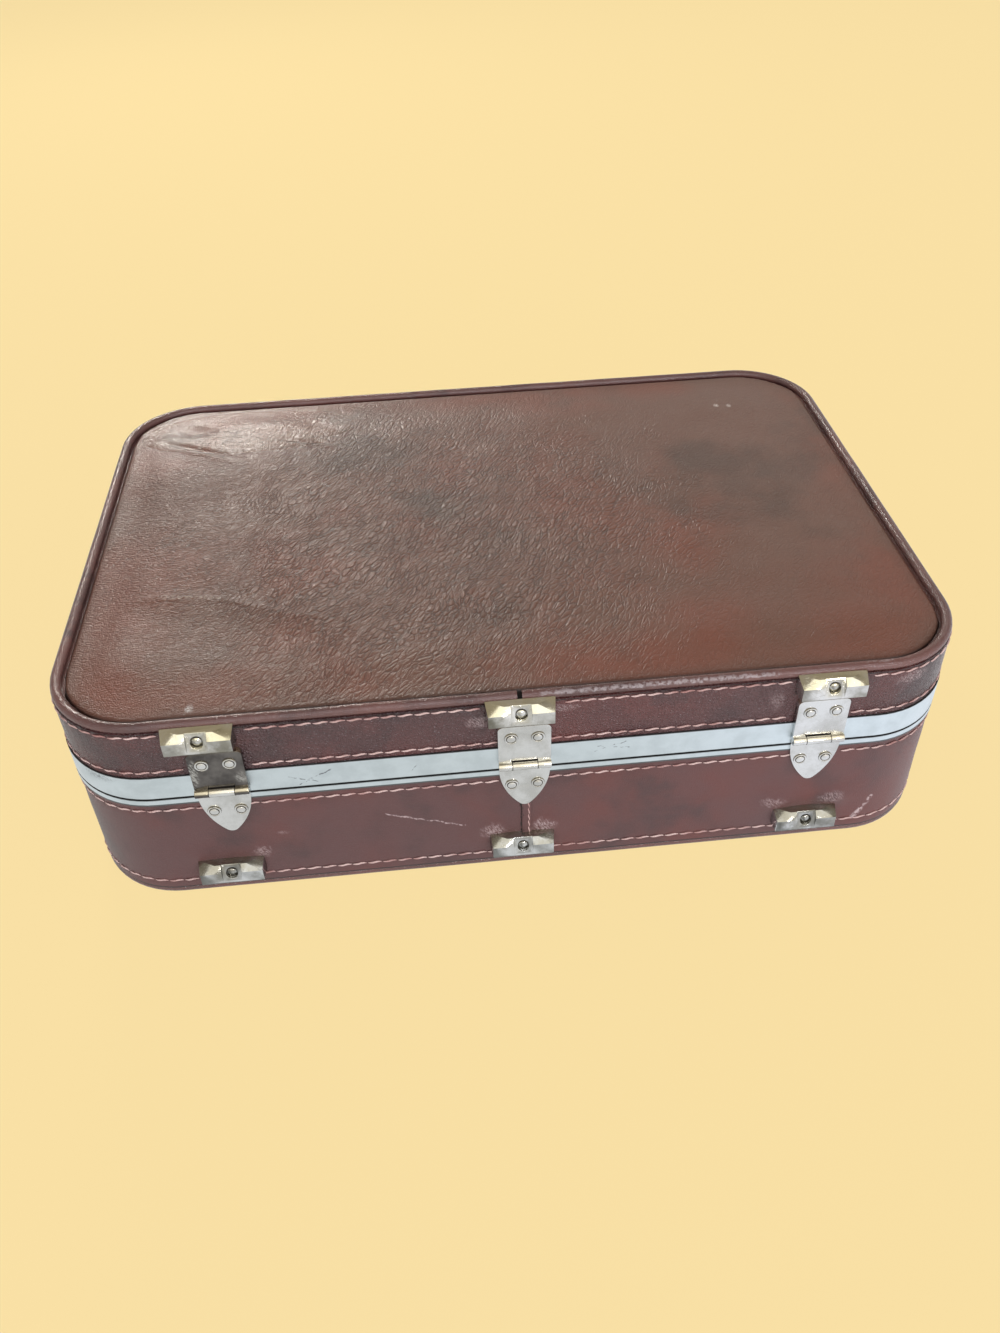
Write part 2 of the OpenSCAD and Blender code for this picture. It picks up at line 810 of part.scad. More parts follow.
// Lock case: a pressed box with end flanges, the bolt's guides inside it
// and a notch at the top that the staple drops into
module lock_case() {
    slot_from = button_x - bolt_travel - button_w / 2;
    slot_to = button_x + button_w / 2;
    color(metal_colour)
        difference() {
            union() {
                translate([-lock_flange_w, 0, lock_z])
                    cube([2 * lock_flange_w, lock_t, lock_h]);
                difference() {
                    translate([-lock_box_w, 0, lock_z])
                        cube([2 * lock_box_w, lock_proud, lock_h]);
                    translate([-lock_box_w + lock_t, -eps, lock_z + lock_t])
                        cube([2 * (lock_box_w - lock_t), lock_proud - lock_t + eps, lock_h - 2 * lock_t]);
                }
                translate([notch_w, 0, bolt_z - bolt_r - 1.4])
                    cube([guide_end_x - notch_w, lock_proud - eps, lock_top_z - bolt_z + bolt_r + 1.4 - eps]);
                translate([-notch_w - 6, 0, bolt_z - bolt_r - 1.4])
                    cube([6, lock_proud - eps, lock_top_z - bolt_z + bolt_r + 1.4 - eps]);
            }
            translate([-lock_box_w + lock_t, -1, lock_z + lock_t])
                cube([lock_box_w - notch_w - 6 - lock_t, lock_proud - lock_t + 1, lock_h - 2 * lock_t]);
            translate([guide_end_x, -1, lock_z + lock_t])
                cube([lock_box_w - lock_t - guide_end_x, lock_proud - lock_t + 1, lock_h - 2 * lock_t]);
            translate([-notch_w - 6 - eps, -1, lock_z + lock_t])
                cube([notch_w + 6 + guide_end_x + 2 * eps, lock_proud - lock_t + 1, bolt_z - bolt_r - 1.4 - lock_z - lock_t]);
            translate([-notch_w, -1, bolt_z - staple_h / 2 - 1])
                cube([2 * notch_w, lock_proud + 2, lock_h]);
            translate([0, bolt_proud, bolt_z])
                rod_x(bolt_r + 0.1, -notch_w - 3, slot_to + 1);
            translate([slot_from - 0.4, lock_proud - lock_t - 1, bolt_z - 1.7])
                cube([slot_to - slot_from + 0.8, lock_t + 2, 3.4]);
            for (x = [-lock_rivet_x, lock_rivet_x])
                for (z = [lock_z + lock_rivet_rise, lock_top_z - lock_rivet_rise])
                    translate([x, 0, z])
                        fastener_bore();
        }
}

// Sliding bolt with its thumb button, drawn back at rest
module lock_slide() {
    color(metal_colour)
        union() {
            translate([0, bolt_proud, bolt_z])
                rod_x(bolt_r, bolt_tip_x, button_x + button_w / 2);
            translate([button_x - button_w / 2, bolt_proud, bolt_z - 1.5])
                cube([button_w, lock_proud - bolt_proud + face_clear + eps, 3]);
            translate([button_x - button_w / 2, lock_proud + face_clear, bolt_z - button_h / 2])
                cube([button_w, button_proud - face_clear, button_h]);
        }
}

// Plate on the lid with the two ears that carry the hasp
module hasp_plate() {
    ear_from = hasp_knuckle_w + knuckle_gap;
    color(metal_colour)
        difference() {
            union() {
                translate([-hasp_plate_w, 0, plate_z])
                    cube([2 * hasp_plate_w, hasp_plate_t, hasp_pin_z + barrel_r + 1.4 - plate_z]);
                for (side = [0, 1])
                    mirror([side, 0, 0])
                        translate([0, 0, hasp_pin_z]) {
                            translate([0, hasp_pin_proud, 0])
                                rod_x(barrel_r, ear_from, hasp_plate_w);
                            translate([ear_from, 0, -barrel_r])
                                cube([hasp_plate_w - ear_from, hasp_pin_proud, 2 * barrel_r]);
                        }
            }
            translate([0, hasp_pin_proud, hasp_pin_z])
                rod_x(pin_r + pin_clear, -hasp_plate_w - 1, hasp_plate_w + 1);
            for (x = [-plate_rivet_x, plate_rivet_x])
                translate([x, 0, plate_z + plate_rivet_rise])
                    fastener_bore();
        }
}

// Hasp: a strap hung from the lid plate, with the staple on its back
module hasp() {
    strap_top = hasp_pin_z - barrel_r - 2;
    strap_foot = bolt_z - staple_h / 2 - hasp_tail;
    color(metal_colour)
        difference() {
            union() {
                translate([-hasp_half_w, hasp_back, strap_foot + hasp_half_w])
                    cube([2 * hasp_half_w, hasp_t, strap_top - strap_foot - hasp_half_w]);
                translate([0, 0, strap_foot + hasp_half_w])
                    rod_y(hasp_half_w, hasp_back, hasp_back + hasp_t);
                translate([-hasp_knuckle_w, hasp_back, strap_top - eps])
                    cube([2 * hasp_knuckle_w, hasp_t, hasp_pin_z - strap_top]);
                translate([0, hasp_pin_proud, hasp_pin_z])
                    rod_x(barrel_r, -hasp_knuckle_w, hasp_knuckle_w);
                translate([-staple_w, rim_proud + 0.4, bolt_z - staple_h / 2])
                    cube([2 * staple_w, hasp_back - rim_proud - 0.4 + eps, staple_h]);
            }
            translate([0, hasp_pin_proud, hasp_pin_z])
                rod_x(pin_r + pin_clear, -hasp_half_w, hasp_half_w);
            translate([0, bolt_proud, bolt_z])
                rod_x(staple_eye_r, -hasp_half_w, hasp_half_w);
        }
}

// Places a latch piece on the left or the right of the handle wall
module latch_side(side) {
    on_handle_wall(side * latch_x, 0)
        mirror([side < 0 ? 1 : 0, 0, 0])
            children();
}

module hasp_pins() {
    color(metal_colour)
        for (side = [-1, 1])
            latch_side(side)
                translate([0, hasp_pin_proud, hasp_pin_z])
                    rod_x(pin_r, -hasp_plate_w, hasp_plate_w);
}

module lock_rivets() {
    color(metal_colour)
        for (side = [-1, 1])
            for (x = [-lock_rivet_x, lock_rivet_x])
                for (z = [lock_z + lock_rivet_rise, lock_top_z - lock_rivet_rise])
                    on_handle_wall(side * latch_x + x, z)
                        fastener(lock_t, small_head_r, small_head_h);
}

module hasp_plate_rivets() {
    color(metal_colour)
        for (side = [-1, 1])
            for (x = [-plate_rivet_x, plate_rivet_x])
                on_handle_wall(side * latch_x + x, plate_z + plate_rivet_rise)
                    fastener(hasp_plate_t, small_head_r, small_head_h);
}

// Moulded grip with rounded ends, a sleeve over the bail
module handle_grip() {
    inner = grip_r - grip_end_r;
    color(grip_colour)
        on_handle_wall(0, grip_z)
            translate([0, handle_proud, 0])
                difference() {
                    rotate([0, 90, 0])
                        rotate_extrude()
                            union() {
                                translate([0, -grip_l / 2])
                                    square([inner, grip_l]);
                                translate([0, -grip_l / 2 + grip_end_r])
                                    square([grip_r, grip_l - 2 * grip_end_r]);
                                for (end = [-1, 1])
                                    translate([inner, end * (grip_l / 2 - grip_end_r)])
                                        circle(r = grip_end_r);
                            }
                    rod_x(bail_r + shank_clear, -grip_l, grip_l);
                }
}

// Steel bail: it runs through the grip, turns up to the pivots and out into the brackets
module handle_bail() {
    low_x = bail_x - bail_bend_r;
    stub_x = ear_x + ear_w + 0.8;
    color(metal_colour)
        on_handle_wall(0, 0)
            translate([0, handle_proud, 0])
                union() {
                    translate([0, 0, grip_z])
                        rod_x(bail_r, -low_x, low_x);
                    for (side = [0, 1])
                        mirror([side, 0, 0]) {
                            translate([low_x, 0, grip_z + bail_bend_r])
                                rotate([90, 0, 0])
                                    rotate([0, 0, -90])
                                        rotate_extrude(angle = 90)
                                            translate([bail_bend_r, 0])
                                                circle(r = bail_r);
                            translate([bail_x, 0, grip_z + bail_bend_r])
                                cylinder(r = bail_r, h = handle_drop - bail_bend_r - pivot_bend_r);
                            translate([bail_x + pivot_bend_r, 0, handle_z - pivot_bend_r])
                                rotate([90, 0, 0])
                                    rotate([0, 0, 90])
                                        rotate_extrude(angle = 90)
                                            translate([pivot_bend_r, 0])
                                                circle(r = bail_r);
                            translate([0, 0, handle_z])
                                rod_x(bail_r, bail_x + pivot_bend_r, stub_x);
                        }
                }
}

// Bracket: a riveted plate with the ear that the bail turns in
module handle_bracket(side) {
    color(metal_colour)
        on_handle_wall(side * bracket_x, handle_z)
            difference() {
                union() {
                    translate([-bracket_w / 2, 0, -bracket_h / 2])
                        cube([bracket_w, bracket_t, bracket_h]);
                    translate([-ear_w / 2, 0, -ear_r])
                        cube([ear_w, handle_proud, 2 * ear_r]);
                    translate([0, handle_proud, 0])
                        rod_x(ear_r, -ear_w / 2, ear_w / 2);
                }
                translate([0, handle_proud, 0])
                    rod_x(bail_r + pin_clear, -ear_w, ear_w);
                for (end = [-1, 1])
                    translate([0, 0, end * bracket_rivet_rise])
                        fastener_bore();
            }
}

module handle_rivets() {
    color(metal_colour)
        for (side = [-1, 1])
            for (end = [-1, 1])
                on_handle_wall(side * bracket_x, handle_z + end * bracket_rivet_rise)
                    fastener(bracket_t, small_head_r, small_head_h);
}

// Slotted arm, hanging from its pivot at rest with the slot on the base stud
module stay_arm(side) {
    slot_from = closed_span - stud_r - slot_end_clear;
    slot_to = open_span + stud_r + slot_end_clear;
    slot_half = stud_r + slot_clear;
    tip = slot_to + stay_end_w - stay_w / 2;
    color(metal_colour)
        translate([side * stay_x, pivot_y, pivot_z])
            rotate([-stay_lean, 0, 0])
                rotate([0, -side * 90, 0])
                    rotate([0, 0, side < 0 ? 0 : 180])
                        linear_extrude(stay_t)
                            difference() {
                                stadium(0, tip, stay_w / 2);
                                circle(r = stud_r + pin_clear);
                                stadium(slot_from + slot_half, slot_to - slot_half, slot_half);
                            }
}

// A strip with round ends along +X
module stadium(x0, x1, r) {
    translate([x0, -r])
        square([x1 - x0, 2 * r]);
    translate([x0, 0])
        circle(r = r);
    translate([x1, 0])
        circle(r = r);
}

// Shouldered studs in both side walls, each with a head inside its stay arm
module stay_fasteners(y, z) {
    wall_x = side_wall_x(abs(y) + stud_head_r, clear_in) - 0.05;
    color(metal_colour)
        for (side = [0, 1])
            mirror([side, 0, 0])
                translate([0, y, z]) {
                    rod_x(stud_r, stay_x - stay_t - 0.2 - eps, case_w / 2 - stay_anchor_depth);
                    rod_x(stud_head_r, stay_x + 0.1, wall_x);
                    rod_x(stud_head_r, stay_x - stay_t - 1, stay_x - stay_t - 0.2);
                }
}

module stay_pivots() {
    stay_fasteners(pivot_y, pivot_z);
}

module stay_studs() {
    stay_fasteners(stud_y, stud_z);
}

base_wall();
base_floor();
base_wall_cover();
base_floor_cover();
base_welt();
base_frame();
base_lining();
lid_wall();
lid_top();
lid_padding();
lid_wall_cover();
lid_panel_cover();
lid_welt();
lid_frame();
lid_lining();
hinge_lid_leaf(hinge_x[0]);  // hinge_lid_leaf_left
hinge_lid_leaf(hinge_x[1]);  // hinge_lid_leaf_centre
hinge_lid_leaf(hinge_x[2]);  // hinge_lid_leaf_right
hinge_base_leaf(hinge_x[0]);  // hinge_base_leaf_left
hinge_base_leaf(hinge_x[1]);  // hinge_base_leaf_centre
hinge_base_leaf(hinge_x[2]);  // hinge_base_leaf_right
hinge_pin(hinge_x[0]);  // hinge_pin_left
hinge_pin(hinge_x[1]);  // hinge_pin_centre
hinge_pin(hinge_x[2]);  // hinge_pin_right
hinge_lid_rivets();
hinge_base_rivets();
foot(foot_x[0], lid_foot_z);  // lid_foot_left
foot(foot_x[1], lid_foot_z);  // lid_foot_centre
foot(foot_x[2], lid_foot_z);  // lid_foot_right
foot(foot_x[0], base_foot_rise);  // base_foot_left
foot(foot_x[1], base_foot_rise);  // base_foot_centre
foot(foot_x[2], base_foot_rise);  // base_foot_right
foot_screws(lid_foot_z);  // lid_foot_screws
foot_screws(base_foot_rise);  // base_foot_screws
latch_side(-1) lock_case();  // lock_case_left
latch_side(1) lock_case();  // lock_case_right
latch_side(-1) lock_slide();  // lock_slide_left
latch_side(1) lock_slide();  // lock_slide_right
latch_side(-1) hasp_plate();  // hasp_plate_left
latch_side(1) hasp_plate();  // hasp_plate_right
latch_side(-1) hasp();  // hasp_left
latch_side(1) hasp();  // hasp_right
hasp_pins();
lock_rivets();
hasp_plate_rivets();
handle_grip();
handle_bail();
handle_bracket(-1);  // handle_bracket_left
handle_bracket(1);  // handle_bracket_right
handle_rivets();
stay_arm(-1);  // stay_arm_left
stay_arm(1);  // stay_arm_right
stay_pivots();
stay_studs();
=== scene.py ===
"""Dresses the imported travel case: leathercloth, piping, stitching, linings and fittings."""
from __future__ import annotations

import json
import logging
import math
from collections.abc import Callable, Iterator
from contextlib import contextmanager
from dataclasses import dataclass, field
from enum import Enum
from typing import Any

import bmesh
import bpy
from mathutils import Matrix, Vector, noise

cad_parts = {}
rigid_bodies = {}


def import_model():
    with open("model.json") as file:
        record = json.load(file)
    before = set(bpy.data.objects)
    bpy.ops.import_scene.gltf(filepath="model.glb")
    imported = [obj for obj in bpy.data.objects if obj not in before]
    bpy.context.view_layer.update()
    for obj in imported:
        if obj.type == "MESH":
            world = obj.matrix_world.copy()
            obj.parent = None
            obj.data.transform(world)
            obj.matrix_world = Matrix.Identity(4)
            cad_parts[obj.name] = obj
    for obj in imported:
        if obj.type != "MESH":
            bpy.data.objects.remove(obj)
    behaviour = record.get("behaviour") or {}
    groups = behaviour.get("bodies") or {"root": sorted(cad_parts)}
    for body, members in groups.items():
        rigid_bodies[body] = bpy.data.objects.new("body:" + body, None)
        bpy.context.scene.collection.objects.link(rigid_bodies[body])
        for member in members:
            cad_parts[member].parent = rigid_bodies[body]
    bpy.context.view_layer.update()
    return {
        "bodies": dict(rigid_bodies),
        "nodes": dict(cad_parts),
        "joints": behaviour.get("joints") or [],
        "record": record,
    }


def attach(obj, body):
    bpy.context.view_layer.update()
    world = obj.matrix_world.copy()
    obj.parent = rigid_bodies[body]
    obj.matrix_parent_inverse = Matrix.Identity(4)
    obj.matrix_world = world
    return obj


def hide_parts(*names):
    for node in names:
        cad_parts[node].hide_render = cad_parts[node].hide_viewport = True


LOG = logging.getLogger("travel_case")
MM_PER_M = 1000.0

Socket = bpy.types.NodeSocket
Colour = tuple[float, float, float]
Point = tuple[float, float, float]

MIDWAY: Point = (0.5, 0.5, 0.5)
IN_PLAN: Point = (1.0, 1.0, 0.0)


class Part(Enum):
    """Which kind of mesh element a selection picks."""

    POINTS = "VERT"
    EDGES = "EDGE"
    FACES = "FACE"


class Body(Enum):
    """The moving bodies of the case."""

    BASE = "base"
    LID = "lid"
    HANDLE = "handle"


def srgb(red: int, green: int, blue: int) -> Colour:
    """Turns a colour as it looks on screen, 0 to 255, into a linear one.

    Args:
        red: Its red channel.
        green: Its green channel.
        blue: Its blue channel.

    Returns:
        The linear colour.
    """
    def linear(value: int) -> float:
        """Turns one channel."""
        share = value / 255
        return share / 12.92 if share <= 0.04045 else ((share + 0.055) / 1.055) ** 2.4
    return linear(red), linear(green), linear(blue)


def smooth_step(low: float, high: float, value: float) -> float:
    """Rises smoothly from 0 at low to 1 at high."""
    share = min(1.0, max(0.0, (value - low) / (high - low)))
    return share * share * (3 - 2 * share)


def bell(distance: float, width: float) -> float:
    """A bell curve of height 1 over a distance."""
    return math.exp(-((distance / width) ** 2))


def activate(piece: bpy.types.Object) -> None:
    """Makes a piece the only selected and the active one.

    Args:
        piece: The piece.
    """
    bpy.ops.object.select_all(action="DESELECT")
    piece.select_set(True)
    bpy.context.view_layer.objects.active = piece


@contextmanager
def editing(piece: bpy.types.Object, part: Part = Part.POINTS,
            whole: bool = False) -> Iterator[None]:
    """Opens a piece in edit mode with nothing or all of it selected, and closes it again.

    Args:
        piece: The piece.
        part: The kind of element that is picked there.
        whole: True where all of it starts selected.

    Returns:
        A context in which the piece is in edit mode.
    """
    activate(piece)
    bpy.ops.object.mode_set(mode="EDIT")
    bpy.ops.mesh.select_mode(type=part.value)
    bpy.ops.mesh.select_all(action="SELECT" if whole else "DESELECT")
    try:
        yield
    finally:
        bpy.ops.object.mode_set(mode="OBJECT")


def pick(piece: bpy.types.Object, part: Part, test: Callable[[list[Vector]], bool]) -> int:
    """Selects the elements of the piece in edit mode whose corners pass a test.

    Args:
        piece: The piece in edit mode.
        part: Points, edges or faces.
        test: Gets the corners of one element and says whether it is picked.

    Returns:
        How many elements were picked.
    """
    shape = bmesh.from_edit_mesh(piece.data)
    rows = {Part.POINTS: shape.verts, Part.EDGES: shape.edges, Part.FACES: shape.faces}[part]
    found = 0
    for row in rows:
        corners = [row.co] if part is Part.POINTS else [v.co for v in row.verts]
        if test(corners):
            row.select_set(True)
            found += 1
    bmesh.update_edit_mesh(piece.data)
    return found


def apply_modifiers(piece: bpy.types.Object) -> None:
    """Applies every modifier of a piece in order.

    Args:
        piece: The piece.
    """
    activate(piece)
    for name in [item.name for item in piece.modifiers]:
        bpy.ops.object.modifier_apply(modifier=name)


def settle(piece: bpy.types.Object, name: str) -> bpy.types.Object:
    """Names a piece and puts its place into its mesh.

    Args:
        piece: The piece.
        name: Its new name.

    Returns:
        The same piece.
    """
    activate(piece)
    piece.name = name
    bpy.ops.object.transform_apply(location=True, rotation=True, scale=True)
    return piece


def add_primitive(kind: str, name: str, **sizes: Any) -> bpy.types.Object:
    """Adds a primitive at its size and place.

    Args:
        kind: The primitive, such as cube or torus.
        name: The new piece's name.
        **sizes: Its sizes, place and turn.

    Returns:
        The new piece, with its place in its mesh.
    """
    bpy.ops.object.select_all(action="DESELECT")
    getattr(bpy.ops.mesh, f"primitive_{kind}_add")(**sizes)
    return settle(bpy.context.view_layer.objects.active, name)


def face_outward(piece: bpy.types.Object) -> None:
    """Merges doubles and turns all faces outwards.

    Args:
        piece: The piece.
    """
    with editing(piece, whole=True):
        bpy.ops.mesh.remove_doubles(threshold=1e-6)
        bpy.ops.mesh.normals_make_consistent(inside=False)


def extrude_up(piece: bpy.types.Object, rise: float) -> None:
    """Makes a solid of a flat piece by extruding its faces upwards.

    Args:
        piece: The flat piece.
        rise: The solid's thickness.
    """
    with editing(piece, Part.FACES, whole=True):
        bpy.ops.mesh.extrude_region_move(TRANSFORM_OT_translate={"value": (0, 0, rise)})
    face_outward(piece)


def round_off(piece: bpy.types.Object, width: float, segments: int, degrees: float = 30) -> None:
    """Rounds the edges that are sharper than an angle.

    Args:
        piece: The piece.
        width: Width of the rounding.
        segments: Steps across the rounding.
        degrees: The angle.
    """
    soft = piece.modifiers.new("soft", "BEVEL")
    soft.width, soft.segments, soft.limit_method = width, segments, "ANGLE"
    soft.angle_limit = math.radians(degrees)
    apply_modifiers(piece)


def shade(piece: bpy.types.Object, degrees: float = 40) -> None:
    """Shades a piece smooth, but for edges sharper than an angle."""
    activate(piece)
    bpy.ops.object.shade_smooth_by_angle(angle=math.radians(degrees))


def join(pieces: list[bpy.types.Object], name: str) -> bpy.types.Object:
    """Joins pieces into one under a name.

    Args:
        pieces: The pieces, the first of which takes up the others.
        name: The name.

    Returns:
        The joined piece.
    """
    activate(pieces[0])
    for other in pieces[1:]:
        other.select_set(True)
    bpy.ops.object.join()
    return settle(bpy.context.view_layer.objects.active, name)


def shape_points(piece: bpy.types.Object, move: Callable[[Vector], Vector]) -> None:
    """Moves each point of a mesh to where a rule says.

    Args:
        piece: The piece.
        move: Gets a point's place and gives its new one.
    """
    for point in piece.data.vertices:
        point.co = move(point.co.copy())
    piece.data.update()


def dress(piece: bpy.types.Object, finish: bpy.types.Material, body: Body | str,
          stands_for: tuple[str, ...] = ()) -> None:
    """Gives a piece its material, its body and the solids that it stands for.

    Args:
        piece: The finished piece.
        finish: Its material.
        body: The body that it moves with.
        stands_for: Solids that it takes the place of.
    """
    piece.data.materials.clear()
    piece.data.materials.append(finish)
    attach(piece, body.value if isinstance(body, Body) else body)
    if stands_for:
        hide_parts(*stands_for)


def make_operator(operation: str, swapped: bool = False) -> Callable[[Wire, Any], Wire]:
    """Makes the method that stands for one arithmetic sign.

    Args:
        operation: The sum on numbers or vectors that it does.
        swapped: True where the other term comes first.

    Returns:
        The method.
    """
    def method(self: Wire, other: Any) -> Wire:
        """Joins this value and another one.

        Args:
            other: A number, a vector or another wire.

        Returns:
            The result's wire.
        """
        number = isinstance(other, (int, float)) or (
            isinstance(other, Wire) and other.socket.type == "VALUE")
        terms = (other, self) if swapped else (self, other)
        if self.socket.type == "VALUE":
            return self.graph.calc(operation, *terms)
        scaled = operation == "MULTIPLY" and number
        return self.graph.vector("SCALE" if scaled else operation, *terms)
    return method


class Wire:
    """A value in a shader tree, which sums are written with as with a plain number."""

    def __init__(self, graph: Graph, socket: Socket) -> None:
        """Wraps an output of the graph."""
        self.graph = graph
        self.socket = socket

    __add__, __radd__ = make_operator("ADD"), make_operator("ADD", swapped=True)
    __sub__, __rsub__ = make_operator("SUBTRACT"), make_operator("SUBTRACT", swapped=True)
    __mul__ = make_operator("MULTIPLY")
    __truediv__, __rtruediv__ = make_operator("DIVIDE"), make_operator("DIVIDE", swapped=True)


class Graph:
    """Adds shader nodes to one tree and joins them."""

    def __init__(self, tree: bpy.types.NodeTree) -> None:
        """Starts with an empty tree."""
        self.tree = tree
        tree.nodes.clear()

    def node(self, kind: str, feeds: dict[str | int, Any] | None = None,
             **settings: Any) -> bpy.types.Node:
        """Adds a node.

        Args:
            kind: The node's type, without its leading ShaderNode.
            feeds: What goes into its sockets, each a value or another socket.
            **settings: Its own settings.

        Returns:
            The new node.
        """
        full = kind if kind.startswith("Node") else "ShaderNode" + kind
        item = self.tree.nodes.new(full)
        for key, value in settings.items():
            setattr(item, key, value)
        for key, value in (feeds or {}).items():
            self.feed(item.inputs[key], value)
        return item

    def feed(self, socket: Socket, value: Any) -> None:
        """Joins a socket to another one, or sets its value.

        Args:
            socket: The socket.
            value: A wire, a socket, a number, a vector or a colour.
        """
        if isinstance(value, Wire):
            value = value.socket
        if isinstance(value, bpy.types.NodeSocket):
            self.tree.links.new(value, socket)
        elif socket.type == "RGBA" and len(value) == 3:
            socket.default_value = (*value, 1.0)
        else:
            socket.default_value = value

    def wire(self, kind: str, output: str | int, feeds: dict[str | int, Any] | None = None,
             **settings: Any) -> Wire:
        """Adds a node and gives one of its outputs."""
        return Wire(self, self.node(kind, feeds, **settings).outputs[output])

    def calc(self, operation: str, *terms: Any, clamp: bool = False) -> Wire:
        """A sum on numbers."""
        return self.wire("Math", 0, dict(enumerate(terms)), operation=operation, use_clamp=clamp)

    def vector(self, operation: str, *terms: Any) -> Wire:
        """A sum on vectors.

        Args:
            operation: The sum.
            *terms: Its terms.

        Returns:
            The result: a number for a length or a product, and else a vector.
        """
        feeds: dict[str | int, Any] = dict(enumerate(terms))
        if operation == "SCALE":
            feeds["Scale"] = feeds.pop(1)
        single = operation in ("LENGTH", "DISTANCE", "DOT_PRODUCT")
        return self.wire("VectorMath", "Value" if single else "Vector", feeds, operation=operation)

    def blend(self, share: Any, first: Any, second: Any, mode: str = "MIX") -> Wire:
        """A mix of two colours."""
        return self.wire("Mix", 2, {0: share, 6: first, 7: second}, data_type="RGBA",
                         blend_type=mode)

    def between(self, share: Any, first: Any, second: Any) -> Wire:
        """A mix of two numbers."""
        return self.wire("Mix", 0, {0: share, 2: first, 3: second})

    def step(self, value: Any, low: Any, high: Any, start: float = 0.0, end: float = 1.0) -> Wire:
        """Rises smoothly from start to end while the value goes from low to high."""
        return self.wire("MapRange", 0, {0: value, 1: low, 2: high, 3: start, 4: end},
                         interpolation_type="SMOOTHSTEP")

    def clouds(self, place: Any, scale: float, detail: float = 2.0, rough: float = 0.5,
               kind: str = "FBM", output: str = "Fac") -> Wire:
        """Cloudy noise over a place."""
        return self.wire("TexNoise", output, {"Vector": place, "Scale": scale, "Detail": detail,
                                              "Roughness": rough}, noise_type=kind)

    def drift(self, place: Any, scale: float, detail: float) -> Wire:
        """Cloudy noise in three directions, each from 0 to 1."""
        return self.clouds(place, scale, detail, output="Color")

    def cells(self, place: Any, scale: float) -> Wire:
        """Distance from the borders in a field of cells."""
        return self.wire("TexVoronoi", "Distance", {"Vector": place, "Scale": scale},
                         feature="DISTANCE_TO_EDGE")

    def turn(self, place: Any, angle: Any, axis: str) -> Wire:
        """A place turned about an axis."""
        return self.wire("VectorRotate", 0, {"Vector": place, "Angle": angle},
                         rotation_type=axis + "_AXIS")

    def part(self, place: Any, index: int) -> Wire:
        """One part of a vector."""
        return self.wire("SeparateXYZ", index, {0: place})

    def apart(self, place: Any, centre: Any, reach: Any) -> Wire:
        """How far a place is from a centre, where 1 is the reach in each direction."""
        return self.vector("LENGTH", self.vector("SUBTRACT", place, centre) / reach)

    def place(self) -> Wire:
        """The place on the object, in metres."""
        return self.wire("TexCoord", "Object")

    def facing(self) -> Wire:
        """The direction that the surface faces on the object."""
        return self.wire("TexCoord", "Normal")


class Paint(Graph):
    """The shader tree of one material."""

    def __init__(self, name: str) -> None:
        """Starts a material.

        Args:
            name: The material's name.
        """
        self.material = bpy.data.materials.new(name)
        self.material.use_nodes = True
        super().__init__(self.material.node_tree)

    def close(self, colour: Any, rough: Any, height: Any, depth: float, strength: float = 1.0,
              **plain: float) -> bpy.types.Material:
        """Joins the surface to its shader.

        Args:
            colour: Its colour.
            rough: Its roughness.
            height: The height of its relief.
            depth: The relief's depth in metres.
            strength: How strongly the relief shows.
            **plain: Other values, which are the same all over.

        Returns:
            The finished material.
        """
        bump = self.wire("Bump", 0, {"Strength": strength, "Distance": depth, "Height": height})
        shader = self.node("BsdfPrincipled", {"Base Color": colour, "Roughness": rough,
                                              "Normal": bump})
        for key, value in plain.items():
            shader.inputs[key.replace("_", " ")].default_value = value
        self.node("OutputMaterial", {"Surface": shader.outputs[0]})
        return self.material


class Effect:
    """A shader group that several finishes share."""

    made: dict[str, bpy.types.NodeTree] = {}

    def __init__(self, name: str, takes: dict[str, str], gives: dict[str, str]) -> None:
        """Opens a new group.

        Args:
            name: What the effect is called.
            takes: Its inputs and their kinds.
            gives: Its outputs and their kinds.
        """
        tree = bpy.data.node_groups.new(name, "ShaderNodeTree")
        for side, rows in (("INPUT", takes), ("OUTPUT", gives)):
            for key, kind in rows.items():
                tree.interface.new_socket(name=key, in_out=side, socket_type="NodeSocket" + kind)
        self.graph = Graph(tree)
        sources = self.graph.node("NodeGroupInput").outputs
        self.takes = {key: Wire(self.graph, sources[key]) for key in takes}
        self.gives = self.graph.node("NodeGroupOutput").inputs
        Effect.made[name] = tree

    def give(self, **values: Wire) -> None:
        """Joins values to the outputs."""
        for key, value in values.items():
            self.graph.feed(self.gives[key], value)

    @staticmethod
    def use(graph: Graph, name: str, **feeds: Any) -> dict[str, Wire]:
        """Places an effect in a material and gives its outputs.

        Args:
            graph: The material's graph.
            name: What the effect is called.
            **feeds: What goes into its inputs.

        Returns:
            The effect's outputs by name.
        """
        item = graph.node("Group", node_tree=Effect.made[name])
        for key, value in feeds.items():
            graph.feed(item.inputs[key], value)
        return {socket.name: Wire(graph, socket) for socket in item.outputs}


